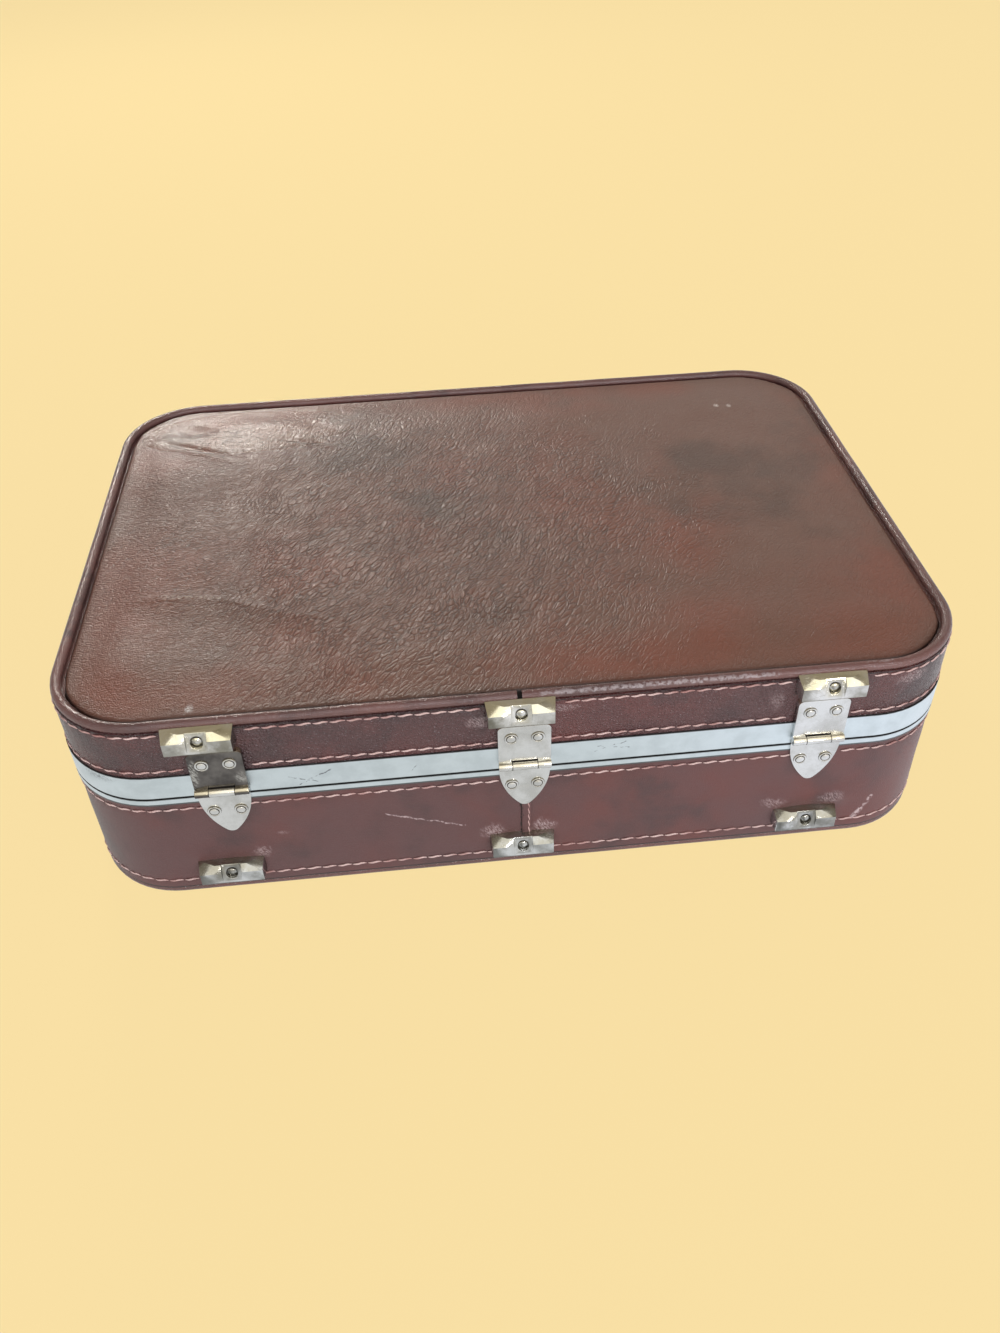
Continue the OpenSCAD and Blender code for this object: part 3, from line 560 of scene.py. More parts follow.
def make_wrinkles() -> None:
    """Milled wrinkles: pillows of leather parted by creases, drawn out along one direction."""
    effect = Effect("wrinkles", {"Position": "Vector", "Length": "Float", "Width": "Float",
                                 "Turn": "Float"}, {"Height": "Float", "Crease": "Float"})
    g, takes = effect.graph, effect.takes
    bent = takes["Position"] + (g.drift(takes["Position"], 16.0, 1.0) - MIDWAY) * 0.020
    across = MM_PER_M / takes["Width"]
    stretch = g.wire("CombineXYZ", 0, {0: MM_PER_M / takes["Length"], 1: across, 2: across})
    spread = g.turn(bent, takes["Turn"], "Z") * stretch
    wavy = spread + (g.drift(spread, 0.9, 1.5) - MIDWAY) * 0.8
    large, small = g.cells(wavy, 1.0), g.cells(wavy, 1.8)
    fade = g.step(g.clouds(spread, 0.45, 1.0), 0.35, 0.62)
    ridges = g.clouds(wavy, 0.8, 2.5, 0.55, "RIDGED_MULTIFRACTAL")
    pillows = g.step(large, 0.0, 0.24) * (0.45 + fade * 0.45)
    grains = g.step(small, 0.0, 0.34) * 0.22
    deep = g.step(large, 0.11, 0.01) * (0.45 + fade * 0.55)
    fine = g.step(small, 0.10, 0.0) * 0.3
    effect.give(Height=pillows + grains - ridges * 0.10, Crease=g.calc("MAXIMUM", deep, fine))


def make_pebble() -> None:
    """Fine pebble grain of embossed leathercloth."""
    effect = Effect("pebble", {"Position": "Vector", "Size": "Float"}, {"Height": "Float"})
    g, takes = effect.graph, effect.takes
    moved = takes["Position"] * (MM_PER_M / takes["Size"])
    edges = g.cells(moved + g.drift(moved, 0.8, 1.0) * 0.8, 1.0)
    effect.give(Height=g.step(edges, 0.0, 0.3) + g.clouds(moved, 2.2) * 0.6)


def make_mottle() -> None:
    """Cloudy colour of an aged pigment coat: dark and warm patches over a middle tone."""
    effect = Effect("mottle", {"Position": "Vector", "Middle": "Color", "Dark": "Color",
                               "Warm": "Color", "Patch": "Float"},
                    {"Color": "Color", "Mask": "Float"})
    g, takes = effect.graph, effect.takes
    dark, warm = takes["Dark"], takes["Warm"]
    scaled = takes["Position"] * (MM_PER_M / takes["Patch"])
    broad = g.clouds(scaled, 1.0, 3.0, 0.55)
    other = g.clouds(scaled + (7.3, 2.1, 4.4), 1.4, 4.0, 0.6)
    warmed = g.blend(g.step(broad, 0.42, 0.66), takes["Middle"], warm)
    darkened = g.blend(g.step(other, 0.47, 0.70), warmed, dark)
    speckled = g.blend(g.clouds(takes["Position"], 900.0), dark, warm)
    effect.give(Color=g.blend(0.12, darkened, speckled), Mask=broad)


def make_scratch() -> None:
    """A line between two points, broken up along its length; the same mask draws scratches and
    painted highlight and shade lines.
    """
    effect = Effect("scratch", {"Position": "Vector", "Start": "Vector", "End": "Vector",
                                "Width": "Float"}, {"Mask": "Float"})
    g, takes = effect.graph, effect.takes
    run = takes["End"] - takes["Start"]
    shaken = takes["Position"] + (g.drift(takes["Position"], 220.0, 3.0) - MIDWAY) * 0.003
    along = g.calc("DIVIDE", g.vector("DOT_PRODUCT", shaken - takes["Start"], run),
                   g.vector("DOT_PRODUCT", run, run), clamp=True)
    away = g.vector("DISTANCE", shaken, takes["Start"] + run * along)
    line = g.step(away, takes["Width"], takes["Width"] * 0.3)
    effect.give(Mask=line * g.step(g.clouds(takes["Position"], 500.0), 0.38, 0.55))


def make_scuff() -> None:
    """A rubbed patch round a point, frayed at its border and streaked by torn fibres; the same mask
    lays painted highlights.
    """
    effect = Effect("scuff", {"Position": "Vector", "Centre": "Vector", "Reach": "Vector"},
                    {"Mask": "Float"})
    g, takes = effect.graph, effect.takes
    fray = (g.apart(takes["Position"], takes["Centre"], takes["Reach"])
            + g.clouds(takes["Position"], 260.0, 4.0, 0.7) * 1.1)
    fibres = g.turn(takes["Position"], 0.5, "Y") * (1500.0, 1500.0, 420.0)
    streaks = g.step(g.clouds(fibres, 1.0, 3.0, 0.7), 0.40, 0.62)
    effect.give(Mask=g.step(fray, 1.45, 0.8) * streaks)


def make_plating() -> None:
    """Plated or anodised metal: faint clouds, fine scratches and pits."""
    effect = Effect("plating", {"Position": "Vector", "Scratches": "Float", "Pits": "Float"},
                    {"Cloud": "Float", "Height": "Float", "Wear": "Float"})
    g, takes = effect.graph, effect.takes
    cloud = g.clouds(takes["Position"], 70.0, 4.0, 0.6)
    marks: Any = 0.0
    for turn, stretch in ((0.3, 900.0), (1.4, 1300.0), (2.3, 1100.0)):
        drawn = g.turn(takes["Position"], turn, "Y") * (30.0, stretch, stretch)
        marks = marks + g.step(g.clouds(drawn, 1.0, 1.0), 0.66, 0.74)
    pits = g.step(g.clouds(takes["Position"], 900.0), 0.64, 0.74)
    worn = g.calc("ADD", marks * takes["Scratches"], pits * takes["Pits"], clamp=True)
    effect.give(Cloud=cloud, Height=cloud * 0.15 - worn, Wear=worn)


def make_border() -> None:
    """Distance inwards from the plan outline of the case."""
    effect = Effect("border", {"Position": "Vector"}, {"Distance": "Float"})
    g, takes = effect.graph, effect.takes
    core = (SHELL.width / 2 - SHELL.corner, SHELL.depth / 2 - SHELL.corner, 0.0)
    beyond = g.vector("MAXIMUM", g.vector("ABSOLUTE", takes["Position"]) - core, (0.0, 0.0, 0.0))
    effect.give(Distance=SHELL.corner - g.vector("LENGTH", beyond * IN_PLAN))


def make_shade_line() -> None:
    """A level line of painted shade between two heights."""
    effect = Effect("shade line", {"Position": "Vector", "Low": "Float", "High": "Float"},
                    {"Mask": "Float"})
    g, takes = effect.graph, effect.takes
    blur = 0.0002
    rise = g.part(takes["Position"], 2) + g.clouds(takes["Position"], 300.0) * blur
    effect.give(Mask=g.step(rise, takes["Low"] - blur, takes["Low"] + blur)
                * g.step(rise, takes["High"] + blur, takes["High"] - blur))


def make_weave() -> None:
    """Plain weave of warp and weft threads over a flat map."""
    effect = Effect("weave", {"Map": "Vector", "Pitch": "Float"},
                    {"Height": "Float", "Shade": "Float"})
    g, takes = effect.graph, effect.takes
    turns = takes["Map"] * (MM_PER_M * math.pi / takes["Pitch"])
    waves = [g.calc("SINE", g.part(turns, index)) for index in (0, 1)]
    warp, weft = (g.calc("ABSOLUTE", wave) for wave in waves)
    over = g.step(waves[0] * waves[1], -0.2, 0.2)
    height = warp * over + weft * (1.0 - over)
    slub = g.clouds(takes["Map"], 160.0, 3.0)
    effect.give(Height=height, Shade=(height + slub) * 0.5)


@dataclass(frozen=True)
class Mark:
    """One mark of a cover in metres: a scuff, a scratch, a painted highlight or a painted shade
    line.
    """

    start: Point
    reach: Point
    strength: float = 0.6
    line: bool = False
    colour: Colour = (0.42, 0.27, 0.26)
    width: float = 0.0011
    lift: float = -0.15
    flat: bool = False

    def mask(self, g: Graph, place: Wire) -> Wire:
        """Where the mark lies on the piece, times its strength.

        Args:
            g: The material's graph.
            place: The place on the object.

        Returns:
            The mark's share of the colour, from 0 to its strength.
        """
        if self.flat:
            place = place * IN_PLAN
        if self.line:
            made = Effect.use(g, "scratch", Position=place, Start=self.start, End=self.reach,
                              Width=self.width)
        else:
            made = Effect.use(g, "scuff", Position=place, Centre=self.start, Reach=self.reach)
        return made["Mask"] * self.strength


@dataclass(frozen=True)
class LeatherFinish:
    """Oxblood leathercloth as it aged on one piece, with painted shade in its creases, along its
    border and in level lines.
    """

    name: str
    middle: Colour
    dark: Colour
    warm: Colour
    painted_crease_shade: Colour = (0.035, 0.018, 0.014)
    patch: float = 110.0
    roughness: float = 0.45
    gloss: float = 0.45
    grain_size: float = 1.3
    grain_depth: float = 0.10
    wrinkle_depth: float = 0.0
    wrinkle_length: float = 9.0
    wrinkle_width: float = 3.1
    wrinkle_turn: float = -0.95
    side_turn: float = -0.15
    side_run: tuple[float, float] = (-0.125, -0.185)
    side_shares: tuple[float, float, float] = (0.8, 0.65, 0.7)
    crease_share: float = 0.75
    wrinkle_centre: Point = (-0.06, -0.01, 0.134)
    wrinkle_reach: Point = (0.23, 0.19, 1.0)
    shine_centre: Point = (-0.165, 0.130, 0.134)
    shine_reach: Point = (0.12, 0.050, 1.0)
    # Distance inwards from the outline where the painted shade of the border groove ends; 0 for
    # none.
    groove: float = 0.0
    # Heights of level lines of painted shade, where the cover meets the band or the piping.
    soil_and_shade: tuple[tuple[float, float], ...] = ()
    marks: tuple[Mark, ...] = ()

    def wrinkle(self, g: Graph, place: Wire) -> tuple[Wire, Wire, Wire]:
        """Lays the wrinkles, which turn at the side and fade towards the borders.

        Args:
            g: The material's graph.
            place: The place on the object.

        Returns:
            The wrinkles' height, the mask of painted shade in their creases, and where the leather
            is polished.
        """
        length, width, depth = self.side_shares
        middle = Effect.use(g, "wrinkles", Position=place, Length=self.wrinkle_length,
                            Width=self.wrinkle_width, Turn=self.wrinkle_turn)
        side = Effect.use(g, "wrinkles", Position=place, Length=self.wrinkle_length * length,
                          Width=self.wrinkle_width * width, Turn=self.side_turn)
        turned = g.step(g.part(place, 0), *self.side_run)
        relief = g.between(turned, middle["Height"], side["Height"] * depth)
        lines = g.between(turned, middle["Crease"], side["Crease"])
        ragged = (g.apart(place, self.wrinkle_centre, self.wrinkle_reach)
                  + g.clouds(place, 22.0) * 0.4)
        polished = g.step(g.apart(place, self.shine_centre, self.shine_reach), 1.3, 0.3)
        mask = g.step(ragged, 1.25, 0.6, 0.2, 1.0) * (1.0 - polished * 0.4)
        return relief * mask * self.wrinkle_depth, lines * mask * self.crease_share, polished

    def make(self) -> bpy.types.Material:
        """Builds the material.

        Returns:
            The finished material.
        """
        g = Paint(self.name)
        place = g.place()
        tone = Effect.use(g, "mottle", Position=place, Middle=self.middle, Dark=self.dark,
                          Warm=self.warm, Patch=self.patch)
        colour = tone["Color"]
        pebble = Effect.use(g, "pebble", Position=place, Size=self.grain_size)
        height = pebble["Height"] * self.grain_depth
        rough = self.roughness - 0.06 + tone["Mask"] * 0.12
        if self.wrinkle_depth:
            wrinkles, painted_crease_shade, polished = self.wrinkle(g, place)
            height = height + wrinkles
            rough = rough - polished * 0.13
            # Painted shade in the wrinkles' creases.
            colour = g.blend(painted_crease_shade, colour, self.painted_crease_shade)
        for mark in self.marks:
            share = mark.mask(g, place)
            colour = g.blend(share, colour, mark.colour)
            height = height + share * mark.lift
        # Painted shade: dark level lines where the cover meets the band and the piping.
        for low, high in self.soil_and_shade:
            line = Effect.use(g, "shade line", Position=place, Low=low, High=high)["Mask"]
            colour = g.blend(line * 0.8, colour, JOINT_SHADE)
        # Painted shade along the panel's border groove: a broad band in the dark tone, then a thin
        # near-black line.
        if self.groove:
            inward = Effect.use(g, "border", Position=place)["Distance"]
            for reach, share, shadow in ((0.012, 0.35, self.dark), (0.0012, 0.9, JOINT_SHADE)):
                edge = g.step(inward, self.groove + reach, self.groove, 0.0, share)
                colour = g.blend(edge, colour, shadow)
        return g.close(colour, rough, height, 0.001, Specular_IOR_Level=self.gloss)


@dataclass(frozen=True)
class MetalFinish:
    """Plated steel or anodised aluminium."""

    name: str
    bright: Colour
    dull: Colour
    roughness: float
    scratches: float = 0.3
    pits: float = 0.3
    upward_reflection: Colour | None = None
    facet_reflections: float = 0.0
    # Heights of level lines of painted shade.
    soil_and_shade: tuple[tuple[float, float], ...] = ()
    marks: tuple[Mark, ...] = ()

    def make(self) -> bpy.types.Material:
        """Builds the material.

        Returns:
            The finished material.
        """
        g = Paint(self.name)
        place = g.place()
        coat = Effect.use(g, "plating", Position=place, Scratches=self.scratches,
                          Pits=self.pits)
        clouded = g.blend(g.step(coat["Cloud"], 0.35, 0.7), self.bright, self.dull)
        colour = g.blend(coat["Wear"] * 0.5, clouded, self.dull)
        height = coat["Height"]
        # Painted reflection: faces that look upwards are tinted by the warm light they would
        # mirror.
        if self.upward_reflection:
            upward = g.step(g.part(g.facing(), 2), 0.1, 0.7)
            reflected_tint = upward * g.step(coat["Cloud"], 0.2, 0.6, 0.6, 1.0)
            colour = g.blend(reflected_tint * 0.85, colour, self.upward_reflection)
        # Painted reflection: each flat face gets its own brightness, as if it mirrored a different
        # part of a room.
        if self.facet_reflections:
            tone = g.step(g.clouds(g.facing(), 2.3, 1.0), 0.36, 0.56, 1.0, 0.0)
            colour = g.blend(tone * self.facet_reflections, colour, self.dull, "MULTIPLY")
        # Painted shade: dark level lines along the band's gaps and edges, dulling the glint on its
        # top edge.
        for low, high in self.soil_and_shade:
            line = Effect.use(g, "shade line", Position=place, Low=low, High=high)["Mask"]
            colour = g.blend(line * 0.85, colour, METAL_JOINT_SHADE)
        for mark in self.marks:
            share = mark.mask(g, place)
            colour = g.blend(share, colour, mark.colour)
            height = height - share * 0.6
        rough = self.roughness + (coat["Cloud"] - 0.5) * 0.2
        return g.close(colour, rough, height, 0.0001, 0.5, Metallic=1.0)


@dataclass(frozen=True)
class ClothFinish:
    """Woven cloth lining on a flat map."""

    name: str
    light: Colour
    shaded: Colour
    pitch: float = 0.9

    def make(self) -> bpy.types.Material:
        """Builds the material.

        Returns:
            The finished material.
        """
        g = Paint(self.name)
        woven = Effect.use(g, "weave", Map=g.wire("TexCoord", "UV"), Pitch=self.pitch)
        stain = g.step(g.clouds(g.place(), 14.0, 4.0), 0.45, 0.8, 0.0, 0.35)
        colour = g.blend(g.step(woven["Shade"], 0.2, 0.8), self.shaded, self.light)
        rough = g.step(woven["Height"], 0.0, 1.0, 0.95, 0.8)
        return g.close(g.blend(stain, colour, self.shaded), rough, woven["Height"], 0.0003, 0.8)


@dataclass(frozen=True)
class ThreadFinish:
    """Twisted sewing thread."""

    name: str
    light: Colour
    soiled: Colour

    def make(self) -> bpy.types.Material:
        """Builds the material.

        Returns:
            The finished material.
        """
        g = Paint(self.name)
        place = g.place()
        soil_and_shade = g.clouds(place, 45.0, 4.0, 0.65)
        colour = g.blend(g.step(soil_and_shade, 0.35, 0.7), self.light, self.soiled)
        twist = g.wire("TexWave", 1, {"Vector": place, "Scale": 420.0, "Distortion": 1.5},
                       bands_direction="DIAGONAL")
        return g.close(colour, g.step(soil_and_shade, 0.3, 0.8, 0.55, 0.8), twist, 0.0002, 0.6)


@dataclass(frozen=True)
class BoardFinish:
    """Plain plywood board with its grain along X."""

    name: str
    early: Colour
    late: Colour

    def make(self) -> bpy.types.Material:
        """Builds the material.

        Returns:
            The finished material.
        """
        g = Paint(self.name)
        grain = g.clouds(g.place() * (6.0, 160.0, 160.0), 1.0, 5.0, 0.6)
        colour = g.blend(g.step(grain, 0.3, 0.7), self.early, self.late)
        return g.close(colour, g.step(grain, 0.2, 0.8, 0.6, 0.8), grain, 0.0003, 0.4)


def make_effects() -> None:
    """Builds every shared shader group once."""
    for build in (make_wrinkles, make_pebble, make_mottle, make_scratch, make_scuff,
                  make_plating, make_border, make_shade_line, make_weave):
        build()


def scratch(start: Point, end: Point, strength: float, colour: Colour, width: float) -> Mark:
    """A line from one place to another: a scratch, a painted highlight or a painted shade line."""
    return Mark(start, end, strength, True, colour, width)


def fold_line(x0: float, y0: float, x1: float, y1: float, strength: float, colour: Colour,
              width: float, lift: float) -> Mark:
    """A line on the lid's panel, at any height."""
    return Mark((x0, y0, 0.0), (x1, y1, 0.0), strength, True, colour, width, lift, True)


def wall_scuff_and_highlight(x: float, z: float, wide: float, tall: float, strength: float,
               y: float = -0.172) -> Mark:
    """A pale patch on the hinge wall: a rubbed scuff, and beside the lower feet a painted highlight
    on a bulge.
    """
    return Mark((x, y, z), (wide, 0.01, tall), strength, colour=PALE_FIBRE_AND_HIGHLIGHT)


def rim_scratch(x0: float, z0: float, x1: float, z1: float, strength: float,
                width: float = 0.0005) -> Mark:
    """A scratch on the aluminium band."""
    return scratch((x0, -0.1728, z0), (x1, -0.1728, z1), strength, SCRATCH_GREY, width)


PALE_FIBRE_AND_HIGHLIGHT: Colour = (0.55, 0.42, 0.43)
PIPING_HIGHLIGHT: Colour = (0.42, 0.35, 0.36)
JOINT_SHADE: Colour = (0.012, 0.008, 0.008)
CREASE_SHADE: Colour = (0.05, 0.035, 0.03)
METAL_JOINT_SHADE: Colour = (0.05, 0.045, 0.045)
SCRATCH_GREY: Colour = (0.22, 0.24, 0.27)
LEAF_PAINTED_HIGHLIGHT: Colour = (0.60, 0.60, 0.58)
WARM_REFLECTION: Colour = (0.70, 0.61, 0.42)

PANEL_LEATHER = LeatherFinish(
    "lid_leathercloth", srgb(110, 77, 64), srgb(84, 61, 51), srgb(123, 71, 55), patch=135.0,
    roughness=0.37, gloss=0.5, grain_depth=0.08, wrinkle_depth=0.64, wrinkle_length=6.8,
    wrinkle_width=2.75, groove=0.0074, marks=(
        # The first fold line is a painted highlight along the long crest; the next two are painted
        # shade in creases.
        fold_line(-0.197, -0.0640, -0.165, -0.0680, 0.34, (0.5, 0.42, 0.37), 0.0026, 0.3),
        fold_line(-0.212, 0.1115, -0.176, 0.0935, 0.5, CREASE_SHADE, 0.0010, -0.6),
        fold_line(-0.132, 0.1075, -0.100, 0.0985, 0.6, CREASE_SHADE, 0.0010, -0.6),
        Mark((-0.1719, -0.1585, 0.1335), (0.0030, 0.0040, 0.01), 1.0, colour=(1.0, 0.97, 0.95)),
        Mark((0.1762, 0.1162, 0.134), (0.0028, 0.004, 0.01), 0.8, colour=(0.75, 0.66, 0.62)),
        Mark((0.1848, 0.1150, 0.134), (0.0028, 0.004, 0.01), 0.8, colour=(0.75, 0.66, 0.62)),
        scratch((0.0, -0.170, 0.1300), (0.0, -0.1655, 0.1330), 1.0, JOINT_SHADE, 0.0016)))
WALL_MARKS = (
    scratch((-0.0772, -0.172, 0.0527), (-0.0328, -0.172, 0.0372), 0.8, PALE_FIBRE_AND_HIGHLIGHT, 0.0008),
    scratch((0.1989, -0.172, 0.0124), (0.2081, -0.172, 0.029), 1.0, PALE_FIBRE_AND_HIGHLIGHT, 0.0024),
    # The patches at x 0.1475, 0.1830, -0.0165, 0.0125 and -0.1480 are painted highlights on the
    # bulges by the feet.
    wall_scuff_and_highlight(0.1475, 0.0330, 0.010, 0.006, 0.5), wall_scuff_and_highlight(0.1830, 0.0335, 0.011, 0.007, 0.5),
    wall_scuff_and_highlight(0.1999, 0.0141, 0.004, 0.003, 1.0), wall_scuff_and_highlight(-0.0165, 0.0300, 0.010, 0.009, 0.8),
    wall_scuff_and_highlight(0.0125, 0.0310, 0.010, 0.009, 0.8), wall_scuff_and_highlight(-0.1480, 0.0310, 0.007, 0.007, 0.6),
    wall_scuff_and_highlight(-0.1350, 0.0450, 0.006, 0.002, 0.4), wall_scuff_and_highlight(-0.0230, 0.1180, 0.009, 0.006, 0.6),
    wall_scuff_and_highlight(0.0230, 0.1235, 0.010, 0.004, 0.5),
    wall_scuff_and_highlight(0.2150, 0.1220, 0.016, 0.006, 0.6, -0.170),
    wall_scuff_and_highlight(0.1390, 0.1150, 0.006, 0.009, 0.4),
    scratch((0.0001, -0.172, 0.0262), (0.0001, -0.172, 0.0530), 1.0, JOINT_SHADE, 0.0012))
BASE_LEATHER = LeatherFinish(
    "base_leathercloth", srgb(95, 65, 66), srgb(73, 54, 56), srgb(107, 61, 58), patch=80.0,
    roughness=0.40, gloss=0.5, grain_depth=0.07, soil_and_shade=((0.0052, 0.0064),), marks=WALL_MARKS)
LID_WALL_LEATHER = LeatherFinish(
    "lid_wall_leathercloth", srgb(83, 52, 54), srgb(66, 46, 49), srgb(97, 53, 52), patch=70.0,
    roughness=0.27, gloss=0.6, grain_size=1.7, grain_depth=0.34,
    soil_and_shade=((0.0979, 0.0986), (0.1288, 0.1298)), marks=WALL_MARKS)
PIPING_LEATHER = LeatherFinish(
    "piping_leathercloth", srgb(101, 68, 65), srgb(78, 51, 50), srgb(114, 74, 69), patch=60.0,
    roughness=0.22, gloss=0.75, grain_size=1.1, grain_depth=0.10, marks=(
        # Painted highlights: pale lines along the crest of the cord.
        scratch((0.012, -0.1707, 0.1342), (0.138, -0.1709, 0.1340), 0.45, PIPING_HIGHLIGHT, 0.0017),
        scratch((0.020, -0.1711, 0.1338), (0.130, -0.1711, 0.1338), 0.35, PIPING_HIGHLIGHT, 0.0013),
        scratch((0.186, -0.1690, 0.1340), (0.200, -0.1685, 0.1340), 0.45, PIPING_HIGHLIGHT, 0.0014)))
GRIP_LEATHER = LeatherFinish(
    "grip_leathercloth", srgb(74, 44, 42), srgb(52, 32, 32), srgb(92, 52, 46), patch=40.0,
    roughness=0.40, grain_depth=0.07)
# Painted shade for the grooves round rivets and screws.
RECESS_SHADE = LeatherFinish(
    "painted_recess_shade", (0.085, 0.072, 0.055), (0.04, 0.034, 0.028), (0.13, 0.11, 0.08), patch=8.0,
    roughness=0.75, gloss=0.3, grain_size=0.4)
DEEP_SHADE = LeatherFinish(
    "joint_shade", (0.010, 0.008, 0.007), (0.006, 0.005, 0.005), (0.018, 0.014, 0.012), patch=8.0,
    roughness=0.8, gloss=0.1, grain_size=0.5)
# Its level lines are painted shade in the gaps beside the band and along its top edge.
ALUMINIUM = MetalFinish(
    "anodised_aluminium", (0.69, 0.78, 0.84), (0.60, 0.68, 0.73), 0.36, 0.2, 0.1,
    soil_and_shade=((0.0764, 0.0775), (0.0806, 0.0824), (0.0977, 0.0986)), marks=(
        rim_scratch(-0.1206, 0.084, -0.1022, 0.0935, 1.0, 0.0006),
        rim_scratch(-0.1260, 0.090, -0.1109, 0.0850, 1.0),
        rim_scratch(0.0381, 0.0881, 0.0572, 0.0950, 0.9),
        rim_scratch(0.0420, 0.0930, 0.0600, 0.0900, 0.9),
        rim_scratch(-0.0600, 0.0870, -0.0560, 0.0910, 0.8),
        Mark((-0.2280, -0.168, 0.0950), (0.016, 0.02, 0.004), 0.8, colour=SCRATCH_GREY)))
NICKEL = MetalFinish("nickel_plate", (0.73, 0.75, 0.77), (0.56, 0.57, 0.57), 0.25, 0.3, 0.4,
                     upward_reflection=WARM_REFLECTION)
# The lower feet: worn, and painted dark on their upward faces for the dark wall that they mirror.
WORN_SHADED_NICKEL = MetalFinish("worn_nickel", (0.72, 0.75, 0.79), (0.30, 0.30, 0.28), 0.18, 0.5, 0.6,
                          upward_reflection=(0.36, 0.33, 0.25), facet_reflections=0.9)
# The lid's feet: their upward faces are painted with a bright warm reflection.
WARM_LIT_NICKEL = MetalFinish("gilt_nickel", (0.75, 0.76, 0.77), (0.34, 0.33, 0.29), 0.18, 0.5, 0.6,
                          upward_reflection=(0.78, 0.70, 0.46), facet_reflections=0.6)
# The left lid leaf is painted dark as a dark reflection, with two pale patches of painted
# highlight.
DARK_REFLECTION_NICKEL = MetalFinish(
    "nickel_painted_dark_reflection", (0.075, 0.07, 0.07), (0.19, 0.18, 0.175), 0.18, 0.5, 0.5, upward_reflection=WARM_REFLECTION,
    marks=(Mark((-0.1740, -0.176, 0.1010), (0.0040, 0.01, 0.014), 0.8, colour=LEAF_PAINTED_HIGHLIGHT),
           Mark((-0.1495, -0.176, 0.0960), (0.0050, 0.01, 0.006), 0.6, colour=LEAF_PAINTED_HIGHLIGHT)))
STAY_STEEL = MetalFinish("zinc_steel", (0.62, 0.63, 0.64), (0.42, 0.42, 0.42), 0.38, 0.4, 0.3)
THREAD = ThreadFinish("sewing_thread", srgb(228, 200, 196), srgb(176, 130, 126))
LINING = ClothFinish("lining_cloth", srgb(176, 156, 128), srgb(120, 102, 82))
BOARD = BoardFinish("plywood", srgb(190, 156, 112), srgb(150, 116, 78))


